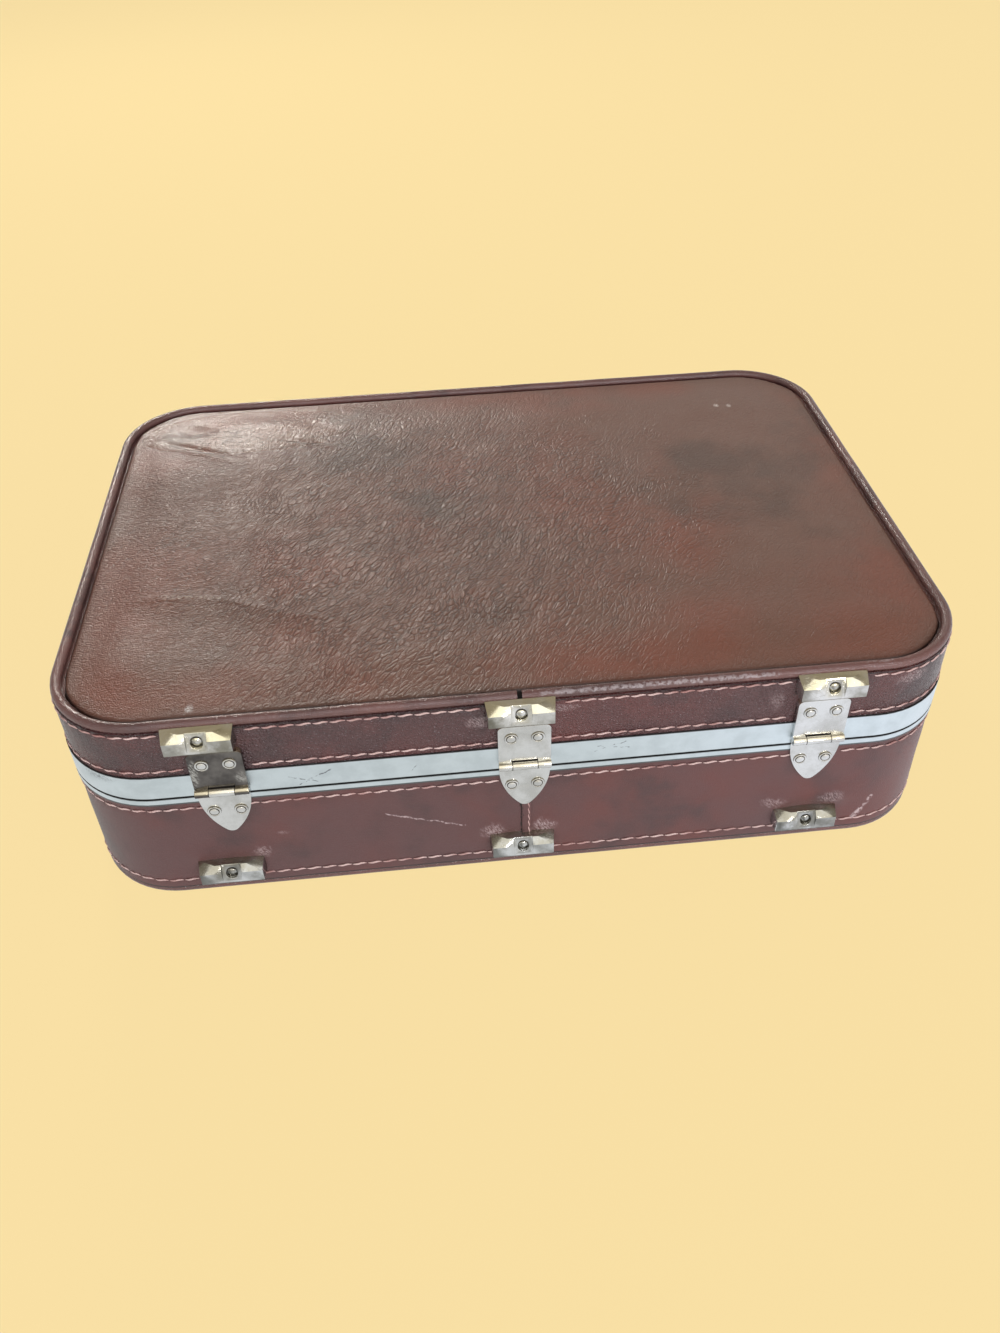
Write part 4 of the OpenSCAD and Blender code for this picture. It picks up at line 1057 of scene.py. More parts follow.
@dataclass
class Photographer:
    """The camera, the pale floor and the soft studio light."""

    focal_px: float = 1122.23
    centre_row: float = 622.15
    azimuth: float = -4.62
    elevation: float = 39.29
    roll: float = -1.67
    distance: float = 0.80092
    slide: tuple[float, float] = (0.00363, 0.03422)
    picture: tuple[int, int] = (1000, 1333)
    backdrop: Colour = srgb(250, 225, 166)
    mirrored: Colour = (0.82, 0.82, 0.80)
    mirrored_right: Colour = (1.04, 1.05, 1.09)
    bounce: Colour = (0.80, 0.78, 0.74)
    sensor: float = 36.0
    floor_size: float = 14.0
    floor_glow: float = 0.93

    def place_camera(self) -> None:
        """Puts the camera at the photograph's viewing angle."""
        az, el, roll = (math.radians(v) for v in (self.azimuth, self.elevation, self.roll))
        back = Vector((math.sin(az) * math.cos(el), -math.cos(az) * math.cos(el), math.sin(el)))
        right = Vector((0, 0, 1)).cross(back).normalized()
        upward = back.cross(right)
        across = right * math.cos(roll) + upward * math.sin(roll)
        above = upward * math.cos(roll) - right * math.sin(roll)
        spot = back * self.distance + across * self.slide[0] + above * self.slide[1]
        lens = bpy.data.cameras.new("photo_lens")
        lens.sensor_fit = "VERTICAL"
        lens.sensor_height = self.sensor
        lens.lens = self.focal_px / self.picture[1] * self.sensor
        lens.shift_y = (self.centre_row - self.picture[1] / 2) / self.picture[1]
        lens.clip_start = 0.01
        camera = bpy.data.objects.new("photo_camera", lens)
        bpy.context.scene.collection.objects.link(camera)
        camera.matrix_world = Matrix((
            (across.x, above.x, back.x, spot.x), (across.y, above.y, back.y, spot.y),
            (across.z, above.z, back.z, spot.z), (0, 0, 0, 1)))
        bpy.context.scene.camera = camera

    def lay_floor(self) -> None:
        """Lays the pale floor, which keeps the object's shadow."""
        floor = add_primitive("plane", "studio_floor", size=self.floor_size,
                              location=(0, 0, 0))
        g = Paint("studio_floor")
        rays = g.node("LightPath").outputs
        shown = g.calc("MAXIMUM", rays["Is Glossy Ray"], rays["Is Transmission Ray"])
        seen = g.calc("MAXIMUM", rays["Is Camera Ray"], shown)
        matt = g.node("BsdfDiffuse", {"Color": g.blend(seen, self.bounce, self.backdrop)})
        image = g.blend(g.step(g.part(g.place(), 0), 0.02, 0.24), self.mirrored,
                        self.mirrored_right)
        glow = g.node("Emission", {"Color": g.blend(shown, self.backdrop, image)})
        mixed = g.node("MixShader", {0: seen * self.floor_glow, 1: matt.outputs[0],
                                     2: glow.outputs[0]})
        g.node("OutputMaterial", {"Surface": mixed.outputs[0]})
        floor.data.materials.append(g.material)

    def hang_lamp(self, name: str, spot: Point, aim: Point, size: tuple[float, float],
                  power: float, colour: Colour) -> None:
        """Hangs one soft area lamp.

        Args:
            name: The lamp's name.
            spot: Its place.
            aim: The point that it faces.
            size: Width and height of its face.
            power: Its power in watts.
            colour: Its colour.
        """
        data = bpy.data.lights.new(name, "AREA")
        data.shape = "RECTANGLE"
        data.size, data.size_y = size
        data.energy = power
        data.color = colour
        lamp = bpy.data.objects.new(name, data)
        bpy.context.scene.collection.objects.link(lamp)
        turn = (Vector(aim) - Vector(spot)).to_track_quat("-Z", "Y")
        lamp.matrix_world = Matrix.Translation(spot) @ turn.to_matrix().to_4x4()

    def light_studio(self) -> None:
        """Lights the room softly from all sides and hangs the lamps."""
        world = bpy.data.worlds.new("studio")
        world.use_nodes = True
        bpy.context.scene.world = world
        g = Graph(world.node_tree)
        rise = g.part(g.wire("TexCoord", "Generated"), 2)
        rays = g.node("LightPath").outputs
        shown = g.calc("MAXIMUM", rays["Is Glossy Ray"], rays["Is Transmission Ray"])
        sky = g.blend(g.step(rise, 0.35, 0.85), (0.45, 0.42, 0.375), (0.35, 0.32, 0.285))
        wall = g.blend(shown * g.step(rise, 0.25, 0.05), sky, self.mirrored)
        glow = g.node("Background", {"Color": g.blend(rays["Is Camera Ray"], wall, self.backdrop)})
        g.node("OutputWorld", {"Surface": glow.outputs[0]})
        for name, spot, aim, size, power, colour in (
                ("window", (-0.58, 2.02, 1.18), (-0.17, 0.128, 0.134), (0.54, 0.26), 22.0,
                 (1.0, 0.95, 0.87)),
                ("back_box", (1.0, 1.9, 1.35), (0.19, 0, 0.13), (1.3, 0.9), 4.0,
                 (1.0, 0.96, 0.88)),
                ("side_box", (0.75, -2.3, 0.75), (0.1, -0.17, 0.10), (0.9, 0.22), 13.0,
                 (0.92, 0.92, 1.0)),
                ("front_box", (0.3, -2.4, 2.0), (0, -0.1, 0.05), (5.6, 3.4), 72.0,
                 (0.95, 0.98, 1.0))):
            self.hang_lamp(name, spot, aim, size, power, colour)
        bpy.context.scene.view_settings.view_transform = "Standard"


@dataclass
class Shell:
    """Sizes that the covers, piping and linings share."""

    width: float = 0.500
    depth: float = 0.344
    corner: float = 0.052
    cover: float = 0.0012
    welt: float = 0.003
    corner_steps: int = 14

    def outline(self, name: str, inset: float, height: float, step: float | None = None,
                keep_face: bool = False) -> bpy.types.Object:
        """Draws the case's plan outline at a height.

        Args:
            name: The new piece's name.
            inset: How far the outline is drawn in.
            height: Its height.
            step: Longest edge on the straight runs, or None for undivided runs.
            keep_face: True to keep the face inside it.

        Returns:
            A mesh with the outline's edges.
        """
        wide_x, wide_y = self.width - 2 * inset, self.depth - 2 * inset
        piece = add_primitive("plane", name, size=1.0, location=(0, 0, height))
        bpy.ops.transform.resize(value=(wide_x, wide_y, 1.0))
        settle(piece, name)
        with editing(piece, Part.POINTS, whole=True):
            bpy.ops.mesh.bevel(offset=self.corner - inset, offset_type="OFFSET",
                               segments=self.corner_steps, affect="VERTICES", profile=0.5)
        if not keep_face:
            with editing(piece, Part.FACES, whole=True):
                bpy.ops.mesh.delete(type="ONLY_FACE")
        if step:
            for along in (0, 1):
                run = (self.width, self.depth)[along] - 2 * self.corner
                with editing(piece, Part.EDGES):
                    pick(piece, Part.EDGES, lambda c, a=along: abs(c[0][a] - c[1][a]) > 0.1)
                    bpy.ops.mesh.subdivide(number_cuts=max(1, round(run / step) - 1))
        return piece

    def ring(self, name: str, inset: float, levels: tuple[float, ...],
             step: float = 0.004) -> bpy.types.Object:
        """Draws an upright wall by extruding the outline from level to level.

        Args:
            name: The wall's name.
            inset: How far it lies inside the case.
            levels: Heights of its rows of points, from the lowest up.
            step: Spacing of the points along the straight sides.

        Returns:
            The wall, open above and below.
        """
        piece = self.outline(name, inset, levels[0], step)
        with editing(piece, Part.EDGES, whole=True):
            for low, high in zip(levels, levels[1:]):
                bpy.ops.mesh.extrude_edges_move(
                    TRANSFORM_OT_translate={"value": (0, 0, high - low)})
        return piece

    def measure(self, point: Vector) -> tuple[float, Vector]:
        """Finds a point's run along the outline and the outward direction there.

        Args:
            point: A point near the outline.

        Returns:
            The run from the middle of the hinge side, and the outward direction.
        """
        half_x, half_y = self.width / 2 - self.corner, self.depth / 2 - self.corner
        arc = math.pi / 2 * self.corner
        core = Vector((max(-half_x, min(half_x, point.x)), max(-half_y, min(half_y, point.y)), 0))
        out = Vector((point.x, point.y, 0)) - core
        if out.length < 1e-6:
            out = Vector((0, -1, 0))
        out.normalize()
        quarter = (math.atan2(out.y, out.x) + math.pi / 2) % (2 * math.pi) / (math.pi / 2)
        whole = int(quarter + 1e-6)
        start, along = (
            (0.0, core.x), (half_x + arc, core.y + half_y),
            (half_x + 2 * arc + 2 * half_y, half_x - core.x),
            (3 * half_x + 3 * arc + 2 * half_y, half_y - core.y))[whole % 4]
        return start + along + max(0.0, quarter - whole) * arc, out

    def reach(self, point: Vector) -> float:
        """Distance of a point in plan from the straight core of the outline."""
        half_x, half_y = self.width / 2 - self.corner, self.depth / 2 - self.corner
        return math.hypot(max(0.0, abs(point.x) - half_x), max(0.0, abs(point.y) - half_y))

    @property
    def girth(self) -> float:
        """Length of the outline."""
        return 2 * (self.width + self.depth - 4 * self.corner) + 2 * math.pi * self.corner

    def map_wall(self, piece: bpy.types.Object, name: str) -> None:
        """Gives a piece a map, in metres: run and height on walls, and the plan elsewhere.

        Args:
            piece: The piece.
            name: The map's name.
        """
        layer = piece.data.uv_layers.new(name=name)
        for face in piece.data.polygons:
            flat = abs(face.normal.z) > 0.7
            middle = self.measure(face.center)[0]
            for corner in face.loop_indices:
                point = piece.data.vertices[piece.data.loops[corner].vertex_index].co
                run = self.measure(point)[0]
                if abs(run - middle) > self.girth / 2:
                    run += math.copysign(self.girth, middle - run)
                layer.data[corner].uv = (point.x, point.y) if flat else (run, point.z)


SHELL = Shell()
HINGE_X = (-0.1612, 0.0018, 0.1648)
FOOT_X = (-0.167, 0.0, 0.167)


@dataclass
class Stitching:
    """Rows of sewn stitches round the case."""

    pitch: float = 0.0088
    length: float = 0.0083
    thread: float = 0.00056
    slant: float = 2.5
    seam_share: float = 0.62
    seam_weight: float = 0.7

    def stitch(self, length: float, weight: float = 1.0) -> bpy.types.Object:
        """Models one stitch, slim at both ends and curved a little like an S.

        Args:
            length: Its length.
            weight: Its thickness as a share of the usual one.

        Returns:
            The stitch at the origin, along X.
        """
        piece = add_primitive("uv_sphere", "stitch", segments=6, ring_count=7, radius=1.0,
                              location=(0, 0, 0), rotation=(0, math.radians(90), 0))
        shape_points(piece, lambda p: Vector((p.x, p.y, p.z + 0.5 * math.sin(p.x * 3.6))))
        thick = self.thread * weight
        bpy.ops.transform.resize(value=(length / 2, thick, thick * 1.1))
        bpy.ops.transform.rotate(value=math.radians(self.slant), orient_axis="Y",
                                 center_override=(0, 0, 0))
        return settle(piece, "stitch")

    def row(self, name: str, height: float,
            hidden: tuple[tuple[float, float], ...]) -> bpy.types.Object:
        """Sews one row round the case at a height.

        Args:
            name: The row's name.
            height: Its height.
            hidden: Spans of X on the hinge side that fittings cover.

        Returns:
            The row as one mesh.
        """
        path = SHELL.outline(name + "_path", -0.0001, height)
        activate(path)
        bpy.ops.object.convert(target="CURVE")
        piece = self.stitch(self.length)
        count = round(SHELL.girth / self.pitch)
        array = piece.modifiers.new("row", "ARRAY")
        array.count = count
        array.use_relative_offset = False
        array.use_constant_offset = True
        array.constant_offset_displace = (SHELL.girth / count, 0, 0)
        bend = piece.modifiers.new("bend", "CURVE")
        bend.object = path
        bend.deform_axis = "POS_X"
        apply_modifiers(piece)
        bpy.data.objects.remove(path)
        with editing(piece, Part.POINTS):
            found = pick(piece, Part.POINTS, lambda c: c[0].y < -0.15 and any(
                low < c[0].x < high for low, high in hidden))
            if found:
                bpy.ops.mesh.select_linked()
                bpy.ops.mesh.delete(type="VERT")
        face_outward(piece)
        shade(piece, 80)
        return settle(piece, name)

    def seam(self, name: str, x: float, low: float, high: float) -> bpy.types.Object:
        """Sews a short upright seam on the hinge wall.

        Args:
            name: The seam's name.
            x: Its place along X.
            low: Where it starts.
            high: Where it ends.

        Returns:
            The seam as one mesh.
        """
        stitches = []
        count = round((high - low) / (self.pitch * self.seam_share))
        for index in range(count):
            piece = self.stitch(self.length * self.seam_share, self.seam_weight)
            bpy.ops.transform.rotate(value=math.radians(90), orient_axis="Y",
                                     center_override=(0, 0, 0))
            height = low + (index + 0.5) * (high - low) / count
            bpy.ops.transform.translate(value=(x, -SHELL.depth / 2 - 0.0011, height))
            stitches.append(settle(piece, f"{name}_{index}"))
        piece = join(stitches, name)
        shade(piece, 80)
        return piece


@dataclass(frozen=True)
class Dent:
    """A round hollow or swelling of the panel: its place and width in mm, its rise in metres."""

    x: float
    y: float
    rise: float
    width: float
    stretch: float

    def lift(self, x: float, y: float) -> float:
        """How far it lifts the panel at a place."""
        away = math.hypot((x - self.x) / self.stretch, y - self.y)
        return self.rise * bell(away, self.width)


@dataclass(frozen=True)
class Fold:
    """A short fold of the panel, a ridge beside a valley, each a rise, an offset and a width."""

    x: float
    y: float
    slope: float
    length: float
    ridge: tuple[float, float, float]
    valley: tuple[float, float, float]

    def lift(self, x: float, y: float) -> float:
        """How far it lifts the panel at a place.

        Args:
            x: The place along X in mm.
            y: The place along Y in mm.

        Returns:
            The rise there in metres.
        """
        across = y - self.y + self.slope * (x - self.x)
        sides = sum(rise * bell(across - offset, width)
                    for rise, offset, width in (self.ridge, self.valley))
        return sides * bell(x - self.x, self.length)


@dataclass
class LidPanel:
    """The padded leathercloth panel on top of the lid."""

    inset: float = 0.0048
    bottom: float = 0.1294
    rim: float = 0.1332
    rise: float = 0.0018
    voxel: float = 0.005
    frames: int = 16
    pressure: float = 4.0
    held_band: float = 0.0016
    roll_start: float = 0.0064
    roll_width: float = 0.0026
    roll_drop: float = 0.0023
    border_sag: float = 0.0009
    unevenness: float = 0.00075
    flaws: tuple[Dent | Fold, ...] = (
        Dent(-198, 133, -0.0024, 8.5, 1.35), Dent(-223, 122, 0.0012, 8, 1.2),
        Fold(-194, 103, 0.54, 21, (0.0010, -4, 3.4), (-0.0013, 2, 2.8)),
        Dent(-140, 134, 0.0009, 9, 2.4), Dent(-92, 124, 0.0008, 9, 1.8),
        Dent(-112, 130, -0.0009, 7, 1.2),
        Fold(-116, 103, 0.30, 19, (0.0008, -3, 2.8), (-0.0009, 2, 2.6)))

    def block(self) -> bpy.types.Object:
        """Draws the flat pad between board and cover.

        Returns:
            The pad, which is still flat.
        """
        piece = SHELL.outline("lid_panel", self.inset, self.bottom, keep_face=True)
        extrude_up(piece, self.rim - self.bottom)
        mesher = piece.modifiers.new("even", "REMESH")
        mesher.mode = "VOXEL"
        mesher.voxel_size = self.voxel
        apply_modifiers(piece)
        heights = [point.co.z for point in piece.data.vertices]
        middle = (min(heights) + max(heights)) / 2
        shape_points(piece, lambda p: Vector((p.x, p.y, self.rim if p.z > middle else self.bottom)))
        with editing(piece, whole=True):
            bpy.ops.mesh.remove_doubles(threshold=0.0006)
            bpy.ops.mesh.dissolve_degenerate()
            bpy.ops.mesh.normals_make_consistent(inside=False)
        return piece

    def pump(self, piece: bpy.types.Object) -> None:
        """Swells the pad by simulation, its underside held on the board.

        Args:
            piece: The pad.
        """
        rest = [point.co.copy() for point in piece.data.vertices]
        held = piece.vertex_groups.new(name="held")
        held.add([point.index for point in piece.data.vertices
                  if point.co.z < self.bottom + self.held_band], 1.0, "REPLACE")
        cloth = piece.modifiers.new("swell", "CLOTH")
        cloth.settings.quality = 4
        cloth.settings.mass = 0.3
        cloth.settings.use_pressure = True
        cloth.settings.uniform_pressure_force = self.pressure
        cloth.settings.vertex_group_mass = "held"
        cloth.settings.effector_weights.gravity = 0.0
        cloth.collision_settings.use_collision = False
        cloth.point_cache.frame_start = 1
        cloth.point_cache.frame_end = self.frames
        scene = bpy.context.scene
        for frame_number in range(1, self.frames + 1):
            scene.frame_set(frame_number)
        apply_modifiers(piece)
        scene.frame_set(1)
        for point, old in zip(piece.data.vertices, rest):
            moved = point.co - old
            cap = self.rise if old.z > self.bottom + 0.002 else 0.0
            lift = cap * math.tanh(max(0.0, moved.z) / cap) if cap else 0.0
            edge = SHELL.corner - SHELL.reach(old)
            point.co = old + Vector((0, 0, lift * smooth_step(0.006, 0.056, edge)))

    def relief(self, point: Vector) -> float:
        """How far the top is lifted at a place by its rolled border, dents and creases.

        Args:
            point: A point of the top.

        Returns:
            The rise there in metres.
        """
        edge = SHELL.corner - SHELL.reach(point)
        roll = math.sqrt(max(0.0, min(1.0, (edge - self.roll_start) / self.roll_width)))
        sag = self.border_sag * (1 - smooth_step(0.008, 0.044, edge))
        lift = -self.roll_drop * (1 - roll) - sag
        x, y = point.x * MM_PER_M, point.y * MM_PER_M
        lift += self.long_crest(x, y) + sum(flaw.lift(x, y) for flaw in self.flaws)
        wave = (noise.noise(Vector((x / 58, y / 50, 3.1)))
                + 0.4 * noise.noise(Vector((x / 23, y / 21, 8.2))))
        return lift + self.unevenness * wave * smooth_step(0.008, 0.03, edge)

    @staticmethod
    def long_crest(x: float, y: float) -> float:
        """The long low crest at the near left, with the hollow below it.

        Args:
            x: The place along X in mm.
            y: The place along Y in mm.

        Returns:
            The rise there in metres.
        """
        across = y + 64 + 32 * smooth_step(-190, -90, x)
        along = smooth_step(-222, -200, x) * (1 - smooth_step(-120, -60, x))
        hollow = smooth_step(1, -21, across) * (1 - smooth_step(-24, -66, across))
        return along * (0.0006 * bell(across, 3.2) - 0.0014 * hollow)

    def refine_border(self, piece: bpy.types.Object) -> None:
        """Divides the faces at the border and on the folds, so that both are round.

        Args:
            piece: The panel.
        """
        def at_border(v: Vector) -> bool:
            """Picks the rolled border."""
            return SHELL.corner - SHELL.reach(v) < 0.0125

        def at_folds(v: Vector) -> bool:
            """Picks the left side's folds and its long crest."""
            return (SHELL.corner - SHELL.reach(v) > 0.011 and v.x < -0.06
                    and (v.y > 0.085 or -0.125 < v.y < -0.045))
        for test, cuts in ((at_border, 2), (at_folds, 1)):
            with editing(piece, Part.FACES):
                pick(piece, Part.FACES, lambda c, test=test: all(
                    v.z > (self.bottom + self.rim) / 2 - 0.0001 and test(v) for v in c))
                bpy.ops.mesh.subdivide(number_cuts=cuts)

    def build(self, finish: bpy.types.Material) -> None:
        """Makes the panel and dresses it.

        Args:
            finish: The leathercloth.
        """
        piece = self.block()
        self.pump(piece)
        smoother = piece.modifiers.new("soft", "SUBSURF")
        smoother.levels = smoother.render_levels = 1
        apply_modifiers(piece)
        self.refine_border(piece)

        def lift(point: Vector) -> Vector:
            """Lifts the upper side only."""
            share = smooth_step(self.bottom + 0.0006, self.rim - 0.0012, point.z)
            return point + Vector((0, 0, share * self.relief(point)))
        shape_points(piece, lift)
        settle(piece, "lid_panel_leather")
        shade(piece, 70)
        dress(piece, finish, Body.LID, ("lid_panel_cover", "lid_padding"))


@dataclass
class WallCovers:
    """Leathercloth on the outer walls of lid and base."""

    lid_levels: tuple[float, ...] = (
        98.0, 99.2, 100.4, 101.0, 101.7, 102.4, 103.0, 104.4, 107.5, 111.0, 114.5, 118.0, 121.0,
        124.0, 126.0, 126.9, 127.6, 128.3, 129.0, 129.8)
    base_levels: tuple[float, ...] = (
        5.4, 7.0, 9.0, 10.6, 11.3, 12.0, 12.7, 13.4, 15.0, 18.0, 21.5, 25.0, 28.0, 30.5, 33.0,
        36.5, 41.0, 46.0, 51.0, 56.0, 61.0, 65.5, 69.0, 70.9, 71.6, 72.3, 73.0, 74.6, 76.4)
    lid_rows: tuple[float, ...] = (0.1017, 0.1276)
    base_rows: tuple[float, ...] = (0.0120, 0.0716)
    pull: float = 0.00045
    pull_reach: float = 0.0011
    ripple: float = 0.00022
    bulge_offset: float = 0.0175
    bulge_height: float = 0.0320
    bulge_reach: float = 0.0075
    bulges: tuple[float, float] = (0.0009, 0.0018)
    strip_low: float = 0.0262
    strip_high: float = 0.0545
    strip_width: float = 0.0056

    def swell(self, point: Vector, rows: tuple[float, ...]) -> Vector:
        """Pulls the cover in along its stitches, and bulges it above the lower feet.

        Args:
            point: A point of the cover.
            rows: Heights of the rows of stitches.

        Returns:
            Its new place.
        """
        run, out = SHELL.measure(point)
        pinch = 0.75 + 0.25 * math.cos(2 * math.pi * run / Stitching.pitch)
        move = self.ripple * noise.noise(Vector((run * 28, point.z * 60, 1.7)))
        for row in rows:
            move -= self.pull * pinch * bell(point.z - row, self.pull_reach)
        if point.y < -0.16 and point.z < 0.07:
            for foot in FOOT_X:
                for side in (-1, 1):
                    away = math.hypot(point.x - foot - side * self.bulge_offset,
                                      (point.z - self.bulge_height) * 1.2)
                    move += self.bulges[foot > 0.1] * bell(away, self.bulge_reach)
        return point + out * move

    def build_wall(self, name: str, levels: tuple[float, ...], rows: tuple[float, ...],
                   body: Body, finish: bpy.types.Material, node: str) -> None:
        """Makes one wall cover and dresses it.

        Args:
            name: The cover's name.
            levels: Heights of its rows of points, in mm.
            rows: Heights of its rows of stitches.
            body: The body that it moves with.
            finish: The leathercloth.
            node: The solid that it takes the place of.
        """
        piece = SHELL.ring(name, 0.0, tuple(level / MM_PER_M for level in levels))
        face_outward(piece)
        self.point_outward(piece)
        shape_points(piece, lambda point: self.swell(point, rows))
        SHELL.map_wall(piece, "wall_map")
        thick = piece.modifiers.new("cloth", "SOLIDIFY")
        thick.thickness = SHELL.cover - 0.0002
        thick.offset = -1.0
        apply_modifiers(piece)
        shade(piece, 50)
        dress(piece, finish, body, (node,))

    @staticmethod
    def point_outward(piece: bpy.types.Object) -> None:
        """Flips an open wall whose faces look inwards.

        Args:
            piece: The wall.
        """
        face = piece.data.polygons[0]
        if face.normal.dot(SHELL.measure(face.center)[1]) < 0:
            with editing(piece, Part.FACES, whole=True):
                bpy.ops.mesh.flip_normals()

    def seam_strip(self, finish: bpy.types.Material, thread: bpy.types.Material) -> None:
        """Makes the overlapped, stitched seam under the middle hinge.

        Args:
            finish: The leathercloth.
            thread: The thread.
        """
        low, high, width = self.strip_low, self.strip_high, self.strip_width
        piece = add_primitive(
            "cube", "base_seam_strip", size=1.0, scale=(width, 0.0019, high - low),
            location=(width / 2, -SHELL.depth / 2 - 0.0002, (low + high) / 2))
        round_off(piece, 0.0004, 3)
        shade(piece, 40)
        dress(piece, finish, Body.BASE)
        sewn = Stitching().seam("base_seam_thread", 0.0040, low + 0.001, high - 0.001)
        dress(sewn, thread, Body.BASE)

    def floor_cover(self, finish: bpy.types.Material) -> None:
        """Makes the leathercloth on the underside.

        Args:
            finish: The leathercloth.
        """
        piece = SHELL.outline("base_floor_leather", 0.0061, 0.0, keep_face=True)
        extrude_up(piece, SHELL.cover)
        round_off(piece, 0.0004, 2)
        shade(piece, 40)
        dress(piece, finish, Body.BASE, ("base_floor_cover",))

    def build(self, finish: bpy.types.Material, lid_finish: bpy.types.Material,
              thread: bpy.types.Material) -> None:
        """Makes the walls, their stitching, the seam and the underside.

        Args:
            finish: The base's leathercloth.
            lid_finish: The lid's leathercloth.
            thread: The thread.
        """
        self.build_wall("lid_wall_leather", self.lid_levels, self.lid_rows, Body.LID, lid_finish,
                        "lid_wall_cover")
        self.build_wall("base_wall_leather", self.base_levels, self.base_rows, Body.BASE, finish,
                        "base_wall_cover")
        leaves, tips, feet = (
            tuple((x - half, x + half) for x in places)
            for places, half in ((HINGE_X, 0.0110), (HINGE_X, 0.0090), (FOOT_X, 0.0150)))
        sewing = Stitching()
        for name, height, body, hidden in (
                ("lid_stitches_low", self.lid_rows[0], Body.LID, leaves),
                ("lid_stitches_high", self.lid_rows[1], Body.LID, feet),
                ("base_stitches_low", self.base_rows[0], Body.BASE, ()),
                ("base_stitches_high", self.base_rows[1], Body.BASE, tips)):
            dress(sewing.row(name, height, hidden), thread, body)
        self.seam_strip(finish, thread)
        self.floor_cover(finish)


@dataclass
class Piping:
    """Leathercloth piping round the edges of lid and base."""

    joint: float = 0.0026
    lid_height: float = 0.1320
    base_height: float = 0.0032
    flange_width: float = 0.006
    flange_thick: float = 0.001

    def cord(self, name: str, height: float, open_joint: bool) -> bpy.types.Object:
        """Runs the piping round the case at a height.

        Args:
            name: The cord's name.
            height: The height of its middle.
            open_joint: True where its ends part over the middle hinge.

        Returns:
            The cord.
        """
        piece = SHELL.outline(name, SHELL.welt, height, 0.006)
        if open_joint:
            with editing(piece, Part.POINTS):
                for side in (-1, 1):
                    bpy.ops.mesh.select_all(action="SELECT")
                    bpy.ops.mesh.bisect(plane_co=(side * self.joint / 2, 0, 0), plane_no=(1, 0, 0))
                bpy.ops.mesh.select_all(action="DESELECT")
            with editing(piece, Part.EDGES):
                pick(piece, Part.EDGES, lambda c: c[0].y < 0 and abs(c[0].x + c[1].x) / 2
                     < self.joint / 2 - 1e-5)
                bpy.ops.mesh.delete(type="EDGE")
            with editing(piece, Part.POINTS):
                pick(piece, Part.POINTS, lambda c: c[0].y < 0 and abs(c[0].x)
                     < self.joint / 2 - 1e-5)
                bpy.ops.mesh.delete(type="VERT")
        activate(piece)
        bpy.ops.object.convert(target="CURVE")
        piece = bpy.context.view_layer.objects.active
        piece.data.dimensions = "3D"
        piece.data.bevel_depth = SHELL.welt - 0.0001
        piece.data.bevel_resolution = 4
        piece.data.use_fill_caps = True
        bpy.ops.object.convert(target="MESH")
        piece = bpy.context.view_layer.objects.active
        face_outward(piece)

        def worn(point: Vector) -> Vector:
            """Makes the cord slightly uneven.

            Args:
                point: A point of the cord.

            Returns:
                Its new place.
            """
            run, out = SHELL.measure(point)
            swell = 0.05 * noise.noise(Vector((run * 45, 0.4, height * 10)))
            sway = 0.00012 * noise.noise(Vector((run * 30, 2.2, 0)))
            return point + out * sway + Vector((0, 0, point.z - height)) * swell
        shape_points(piece, worn)
        return piece

    def flange(self, name: str, low: float) -> bpy.types.Object:
        """Makes the flange that is sewn in behind the piping.

        Args:
            name: The flange's name.
            low: The height of its lower edge.

        Returns:
            The flange.
        """
        piece = SHELL.outline(name, SHELL.welt, low, keep_face=True)
        with editing(piece, Part.FACES, whole=True):
            bpy.ops.mesh.inset(thickness=self.flange_width, use_even_offset=True)
            bpy.ops.mesh.delete(type="FACE")
        extrude_up(piece, self.flange_thick)
        return piece

    def core(self, finish: bpy.types.Material) -> None:
        """Fills the open joint with a dark cylinder, painted shade where the cord's core shows.

        Args:
            finish: The dark shade.
        """
        piece = add_primitive(
            "cylinder", "lid_piping_core_shade", vertices=20, radius=SHELL.welt - 0.0009,
            depth=self.joint + 0.0004, location=(0, SHELL.welt - SHELL.depth / 2, self.lid_height),
            rotation=(0, math.radians(90), 0))
        shade(piece, 40)
        dress(piece, finish, Body.LID)

    def build(self, finish: bpy.types.Material) -> None:
        """Makes both runs of piping.

        Args:
            finish: The leathercloth.
        """
        for name, height, low, body, open_joint, node in (
                ("lid_piping", self.lid_height, 0.1290, Body.LID, True, "lid_welt"),
                ("base_piping", self.base_height, 0.0052, Body.BASE, False, "base_welt")):
            piece = join([self.cord(name, height, open_joint),
                          self.flange(name + "_flange", low)], name)
            shade(piece, 60)
            dress(piece, finish, body, (node,))


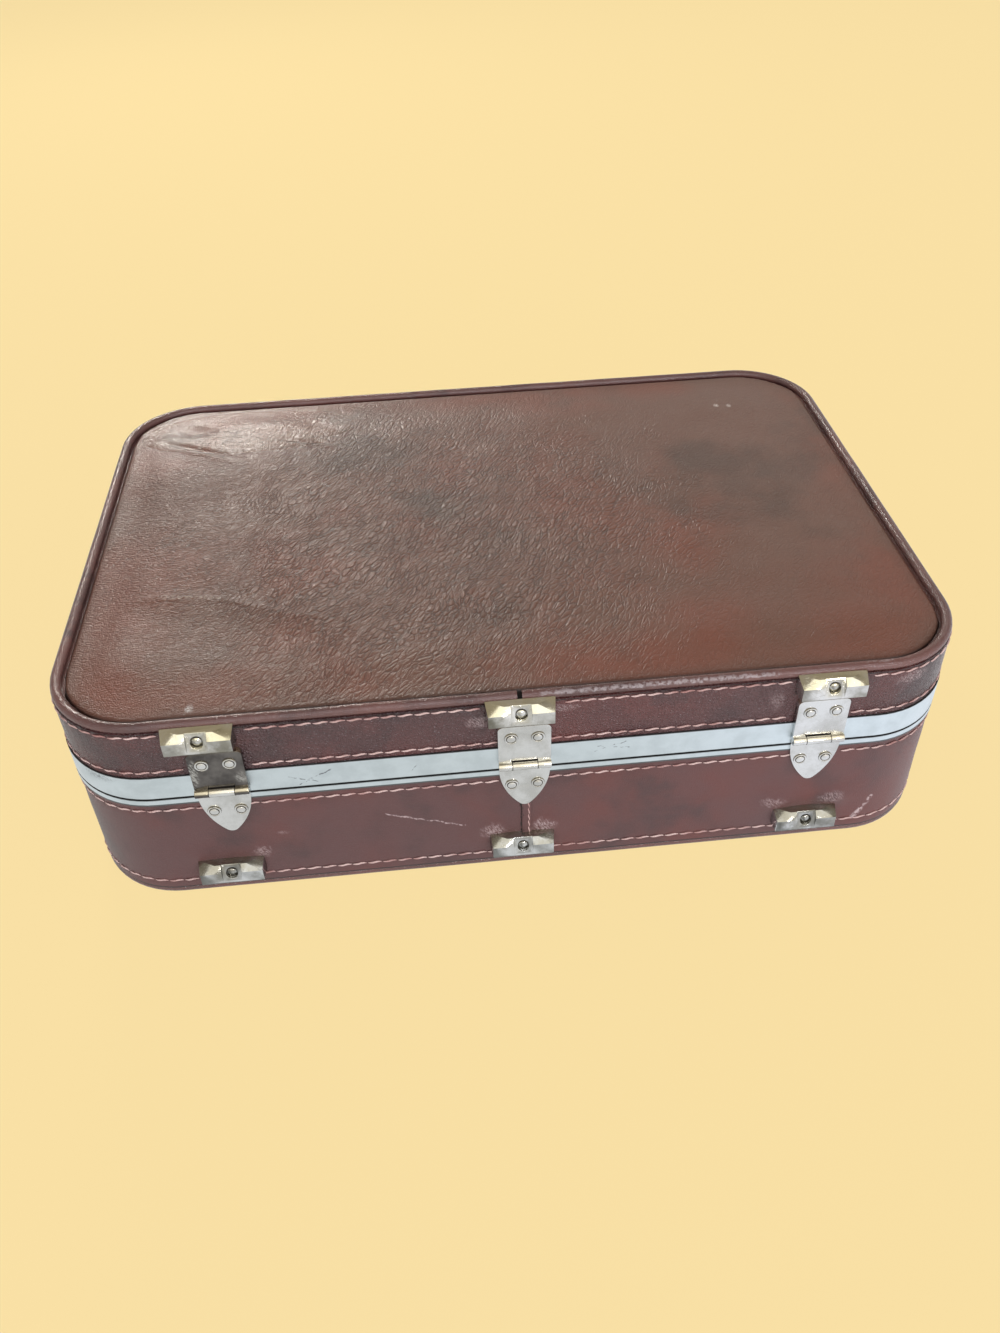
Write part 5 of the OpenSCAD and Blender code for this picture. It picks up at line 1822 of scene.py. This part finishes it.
@dataclass
class Linings:
    """Cloth linings of lid and base."""

    wall_in: float = 0.0053
    thick: float = 0.0006
    levels: int = 9
    closing: tuple[float, ...] = (0.97, 0.85, 0.7, 0.5, 0.3)

    def tray(self, name: str, bottom: float, top: float, body: Body, node: str,
             finish: bpy.types.Material) -> None:
        """Makes one tray-shaped lining, open at the rim.

        Args:
            name: The lining's name.
            bottom: Height of its closed side.
            top: Height of its open rim.
            body: The body that it moves with.
            node: The solid that it stands for.
            finish: Its material.
        """
        heights = tuple(top + (bottom - top) * index / self.levels
                        for index in range(self.levels + 1))
        piece = SHELL.ring(name, self.wall_in, heights, 0.012)
        with editing(piece, Part.EDGES):
            pick(piece, Part.EDGES, lambda c: all(abs(v.z - bottom) < 1e-5 for v in c))
            for share in self.closing:
                bpy.ops.mesh.extrude_edges_move()
                bpy.ops.transform.resize(value=(share, share, 1.0))
            bpy.ops.mesh.merge(type="CENTER")
        face_outward(piece)
        SHELL.map_wall(piece, "cloth_map")
        middle = min(piece.data.polygons, key=lambda face: face.center.xy.length)
        shape_points(piece, lambda p: p + SHELL.measure(p)[1] * 0.0001 * noise.noise(p * 30))
        cloth = piece.modifiers.new("cloth", "SOLIDIFY")
        cloth.thickness = self.thick
        cloth.offset = 1.0 if middle.normal.z * (top - bottom) > 0 else -1.0
        cloth.use_even_offset = True
        apply_modifiers(piece)
        face_outward(piece)
        shade(piece, 50)
        dress(piece, finish, body, (node,))

    def build(self, finish: bpy.types.Material) -> None:
        """Makes both linings."""
        self.tray("base_lining_cloth", 0.0063, 0.0795, Body.BASE, "base_lining", finish)
        self.tray("lid_lining_cloth", 0.1249, 0.0908, Body.LID, "lid_lining", finish)


@dataclass
class Grip:
    """The sewn grip of the handle."""

    radius: float = 0.008
    length: float = 0.090
    height: float = 0.020
    depth: float = 0.182
    stitches: int = 13
    stitch_pitch: float = 0.0062
    stitch_length: float = 0.0042

    def build(self, finish: bpy.types.Material, thread: bpy.types.Material) -> None:
        """Makes the grip and its seam.

        Args:
            finish: The leather.
            thread: The thread.
        """
        piece = add_primitive("cylinder", "grip_leather", vertices=36, radius=self.radius,
                              depth=self.length, location=(0, self.depth, self.height),
                              rotation=(0, math.radians(90), 0))
        with editing(piece, Part.EDGES):
            pick(piece, Part.EDGES, lambda c: abs(c[0].x - c[1].x) < 1e-6
                 and abs(abs(c[0].x) - self.length / 2) < 1e-6)
            bpy.ops.mesh.bevel(offset=0.003, segments=6, affect="EDGES")
        with editing(piece, Part.EDGES):
            pick(piece, Part.EDGES, lambda c: abs(c[0].x - c[1].x) > 0.05)
            bpy.ops.mesh.subdivide(number_cuts=24)
        face_outward(piece)
        axis = Vector((0, self.depth, self.height))

        def fit(point: Vector) -> Vector:
            """Gives the grip its seam groove and slight finger waves.

            Args:
                point: A point of the grip.

            Returns:
                Its new place.
            """
            across = Vector((0, point.y, point.z)) - axis
            if across.length < 1e-5:
                return point
            groove = 0.0005 * bell(math.atan2(across.z, across.y) + math.pi / 2, 0.12)
            wave = 0.00022 * math.sin(point.x * 230) - 0.0002
            share = smooth_step(0, 0.004, across.length)
            return point + across.normalized() * (wave - groove) * share
        shape_points(piece, fit)
        shade(piece, 60)
        dress(piece, finish, Body.HANDLE, ("handle_grip",))
        sewn = []
        for index in range(self.stitches):
            stitch = Stitching().stitch(self.stitch_length)
            along = (index - (self.stitches - 1) / 2) * self.stitch_pitch
            bpy.ops.transform.translate(value=(
                along, self.depth, self.height - self.radius + 0.0004))
            sewn.append(settle(stitch, f"grip_thread_{index}"))
        dress(join(sewn, "grip_thread"), thread, Body.HANDLE)


@dataclass
class Fittings:
    """Metal and board solids that keep their shape and get rounded edges and a finish."""

    rounding: float = 0.00028
    foot_rounding: float = 0.0009
    rivet_pitch: float = 0.0145
    pad_face: float = -0.1777
    knuckle_half: float = 0.0069
    pin_y: float = -0.1760
    pin_z: float = 0.0868
    rimmed: dict[str, tuple[float, float]] = field(default_factory=lambda: {
        "hinge_lid_rivets": (-0.1756, 0.1072), "hinge_base_rivets": (-0.1743, 0.0702)})
    special: dict[str, str] = field(default_factory=lambda: {
        "hinge_lid_leaf_left": "dark_nickel", "base_foot": "worn_nickel",
        "lid_foot": "gilt_nickel"})

    @property
    def rivet_x(self) -> tuple[float, ...]:
        """X of every hinge rivet."""
        return tuple(x + side * self.rivet_pitch / 2 for x in HINGE_X for side in (-1, 1))

    @staticmethod
    def rings(face: float, height: float, places: tuple[float, ...], radius: float,
              thick: float) -> list[bpy.types.Object]:
        """Models a row of rings that face the hinge side.

        Args:
            face: Y of the rings' middle.
            height: Height of their centres.
            places: X of each centre.
            radius: Radius of a ring.
            thick: Half thickness of a ring.

        Returns:
            One ring for each place.
        """
        return [add_primitive("torus", "ring", location=(x, face, height), minor_radius=thick,
                              rotation=(math.radians(90), 0, 0), major_segments=24,
                              minor_segments=8, major_radius=radius) for x in places]

    def lay_recess_shade(self, finish: bpy.types.Material) -> None:
        """Lays dark rings of painted shade into the grooves round rivet heads and foot screws.

        Args:
            finish: The painted shade.
        """
        for name, body, rivets, screw_height in (
                ("lid_fitting_shade", Body.LID, "hinge_lid_rivets", 0.12645),
                ("base_fitting_shade", Body.BASE, "hinge_base_rivets", 0.02165)):
            face, height = self.rimmed[rivets]
            piece = join([
                *self.rings(face - 0.00065, height, self.rivet_x, 0.00250, 0.00022),
                *self.rings(face, height, self.rivet_x, 0.00372, 0.00014),
                *self.rings(self.pad_face, screw_height, FOOT_X, 0.0034, 0.00024)], name)
            shade(piece, 80)
            dress(piece, finish, body)

    def shade_knuckles(self, finish: bpy.types.Material) -> None:
        """Shades the joints between hinge knuckles, and the slot above the middle one.

        Args:
            finish: The shade.
        """
        upright = (0, math.radians(90), 0)
        joints, slots = [], []
        for x in HINGE_X:
            joints += [add_primitive(
                "torus", "joint", location=(x + side * self.knuckle_half, self.pin_y, self.pin_z),
                rotation=upright, major_segments=28, minor_segments=6, major_radius=0.00242,
                minor_radius=0.0003) for side in (-1, 1)]
            slots.append(add_primitive(
                "cylinder", "slot", vertices=10, radius=0.00055, depth=2 * self.knuckle_half,
                location=(x, self.pin_y + 0.0007, self.pin_z + 0.003), rotation=upright))
        for name, rows, body in (("knuckle_joint_shade", joints, Body.BASE),
                                 ("leaf_slot_shade", slots, Body.LID)):
            piece = join(rows, name)
            shade(piece, 60)
            dress(piece, finish, body)

    def round_edges(self, node: bpy.types.Object, name: str, width: float) -> bpy.types.Object:
        """Copies a solid and rounds its edges.

        Args:
            node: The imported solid.
            name: The copy's name.
            width: Width of the rounding.

        Returns:
            The rounded copy.
        """
        piece = node.copy()
        piece.data = node.data.copy()
        bpy.context.scene.collection.objects.link(piece)
        piece.parent = None
        for key in list(piece.keys()):
            del piece[key]
        activate(piece)
        with editing(piece, Part.POINTS, whole=True):
            bpy.ops.mesh.customdata_custom_splitnormals_clear()
            bpy.ops.mesh.remove_doubles(threshold=2e-6)
            bpy.ops.mesh.dissolve_limited(angle_limit=math.radians(0.8))
        round_off(piece, width, 2, 38)
        settle(piece, name)
        shade(piece, 35)
        return piece

    def build(self, frame: dict[str, Any], finishes: dict[str, bpy.types.Material]) -> None:
        """Dresses every solid that no soft piece stands for.

        Args:
            frame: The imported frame.
            finishes: The materials by name.
        """
        bodies = {member: body for body, members
                  in frame["record"]["behaviour"]["bodies"].items() for member in members}
        slots = {row["node"]: row["material_slot"] for row in frame["record"]["subparts"]}
        for name, node in sorted(frame["nodes"].items()):
            if node.hide_render:
                continue
            slot = slots[name]
            if slot in ("nickel", "stay_steel"):
                piece = self.refine(node, name)
                special = next((kind for start, kind in self.special.items()
                                if name.startswith(start)), slot)
                dress(piece, finishes[special], bodies[name], (name,))
            else:
                node.data.materials.clear()
                node.data.materials.append(finishes[slot])
                LOG.info("%s keeps its solid, in %s", name, slot)

    def refine(self, node: bpy.types.Object, name: str) -> bpy.types.Object:
        """Rounds one fitting's edges and lays the pressed rims round its rivets.

        Args:
            node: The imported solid.
            name: Its name.

        Returns:
            The finished copy.
        """
        foot = "_foot_" in name and "screws" not in name
        piece = self.round_edges(node, name + "_finished",
                                 self.foot_rounding if foot else self.rounding)
        if name in self.rimmed:
            face, height = self.rimmed[name]
            rims = self.rings(face - 0.0002, height, self.rivet_x, 0.00315, 0.0006)
            piece = join([piece, *rims], name + "_finished")
            shade(piece, 35)
        return piece


def main() -> None:
    """Builds the camera, the stage and every piece of the case."""
    logging.basicConfig(level=logging.INFO, format="%(name)s: %(message)s")
    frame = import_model()
    bpy.ops.object.select_all(action="DESELECT")
    studio = Photographer()
    studio.place_camera()
    studio.lay_floor()
    studio.light_studio()
    make_effects()
    thread = THREAD.make()
    finishes = {slot: finish.make() for slot, finish in (
        ("aluminium_rim", ALUMINIUM), ("nickel", NICKEL), ("dark_nickel", DARK_REFLECTION_NICKEL),
        ("worn_nickel", WORN_SHADED_NICKEL), ("gilt_nickel", WARM_LIT_NICKEL), ("stay_steel", STAY_STEEL),
        ("board", BOARD))}
    LidPanel().build(PANEL_LEATHER.make())
    WallCovers().build(BASE_LEATHER.make(), LID_WALL_LEATHER.make(), thread)
    deep = DEEP_SHADE.make()
    piping = Piping()
    piping.build(PIPING_LEATHER.make())
    piping.core(deep)
    Linings().build(LINING.make())
    Grip().build(GRIP_LEATHER.make(), thread)
    fittings = Fittings()
    fittings.build(frame, finishes)
    fittings.lay_recess_shade(RECESS_SHADE.make())
    fittings.shade_knuckles(deep)


if __name__ == "__main__":
    main()
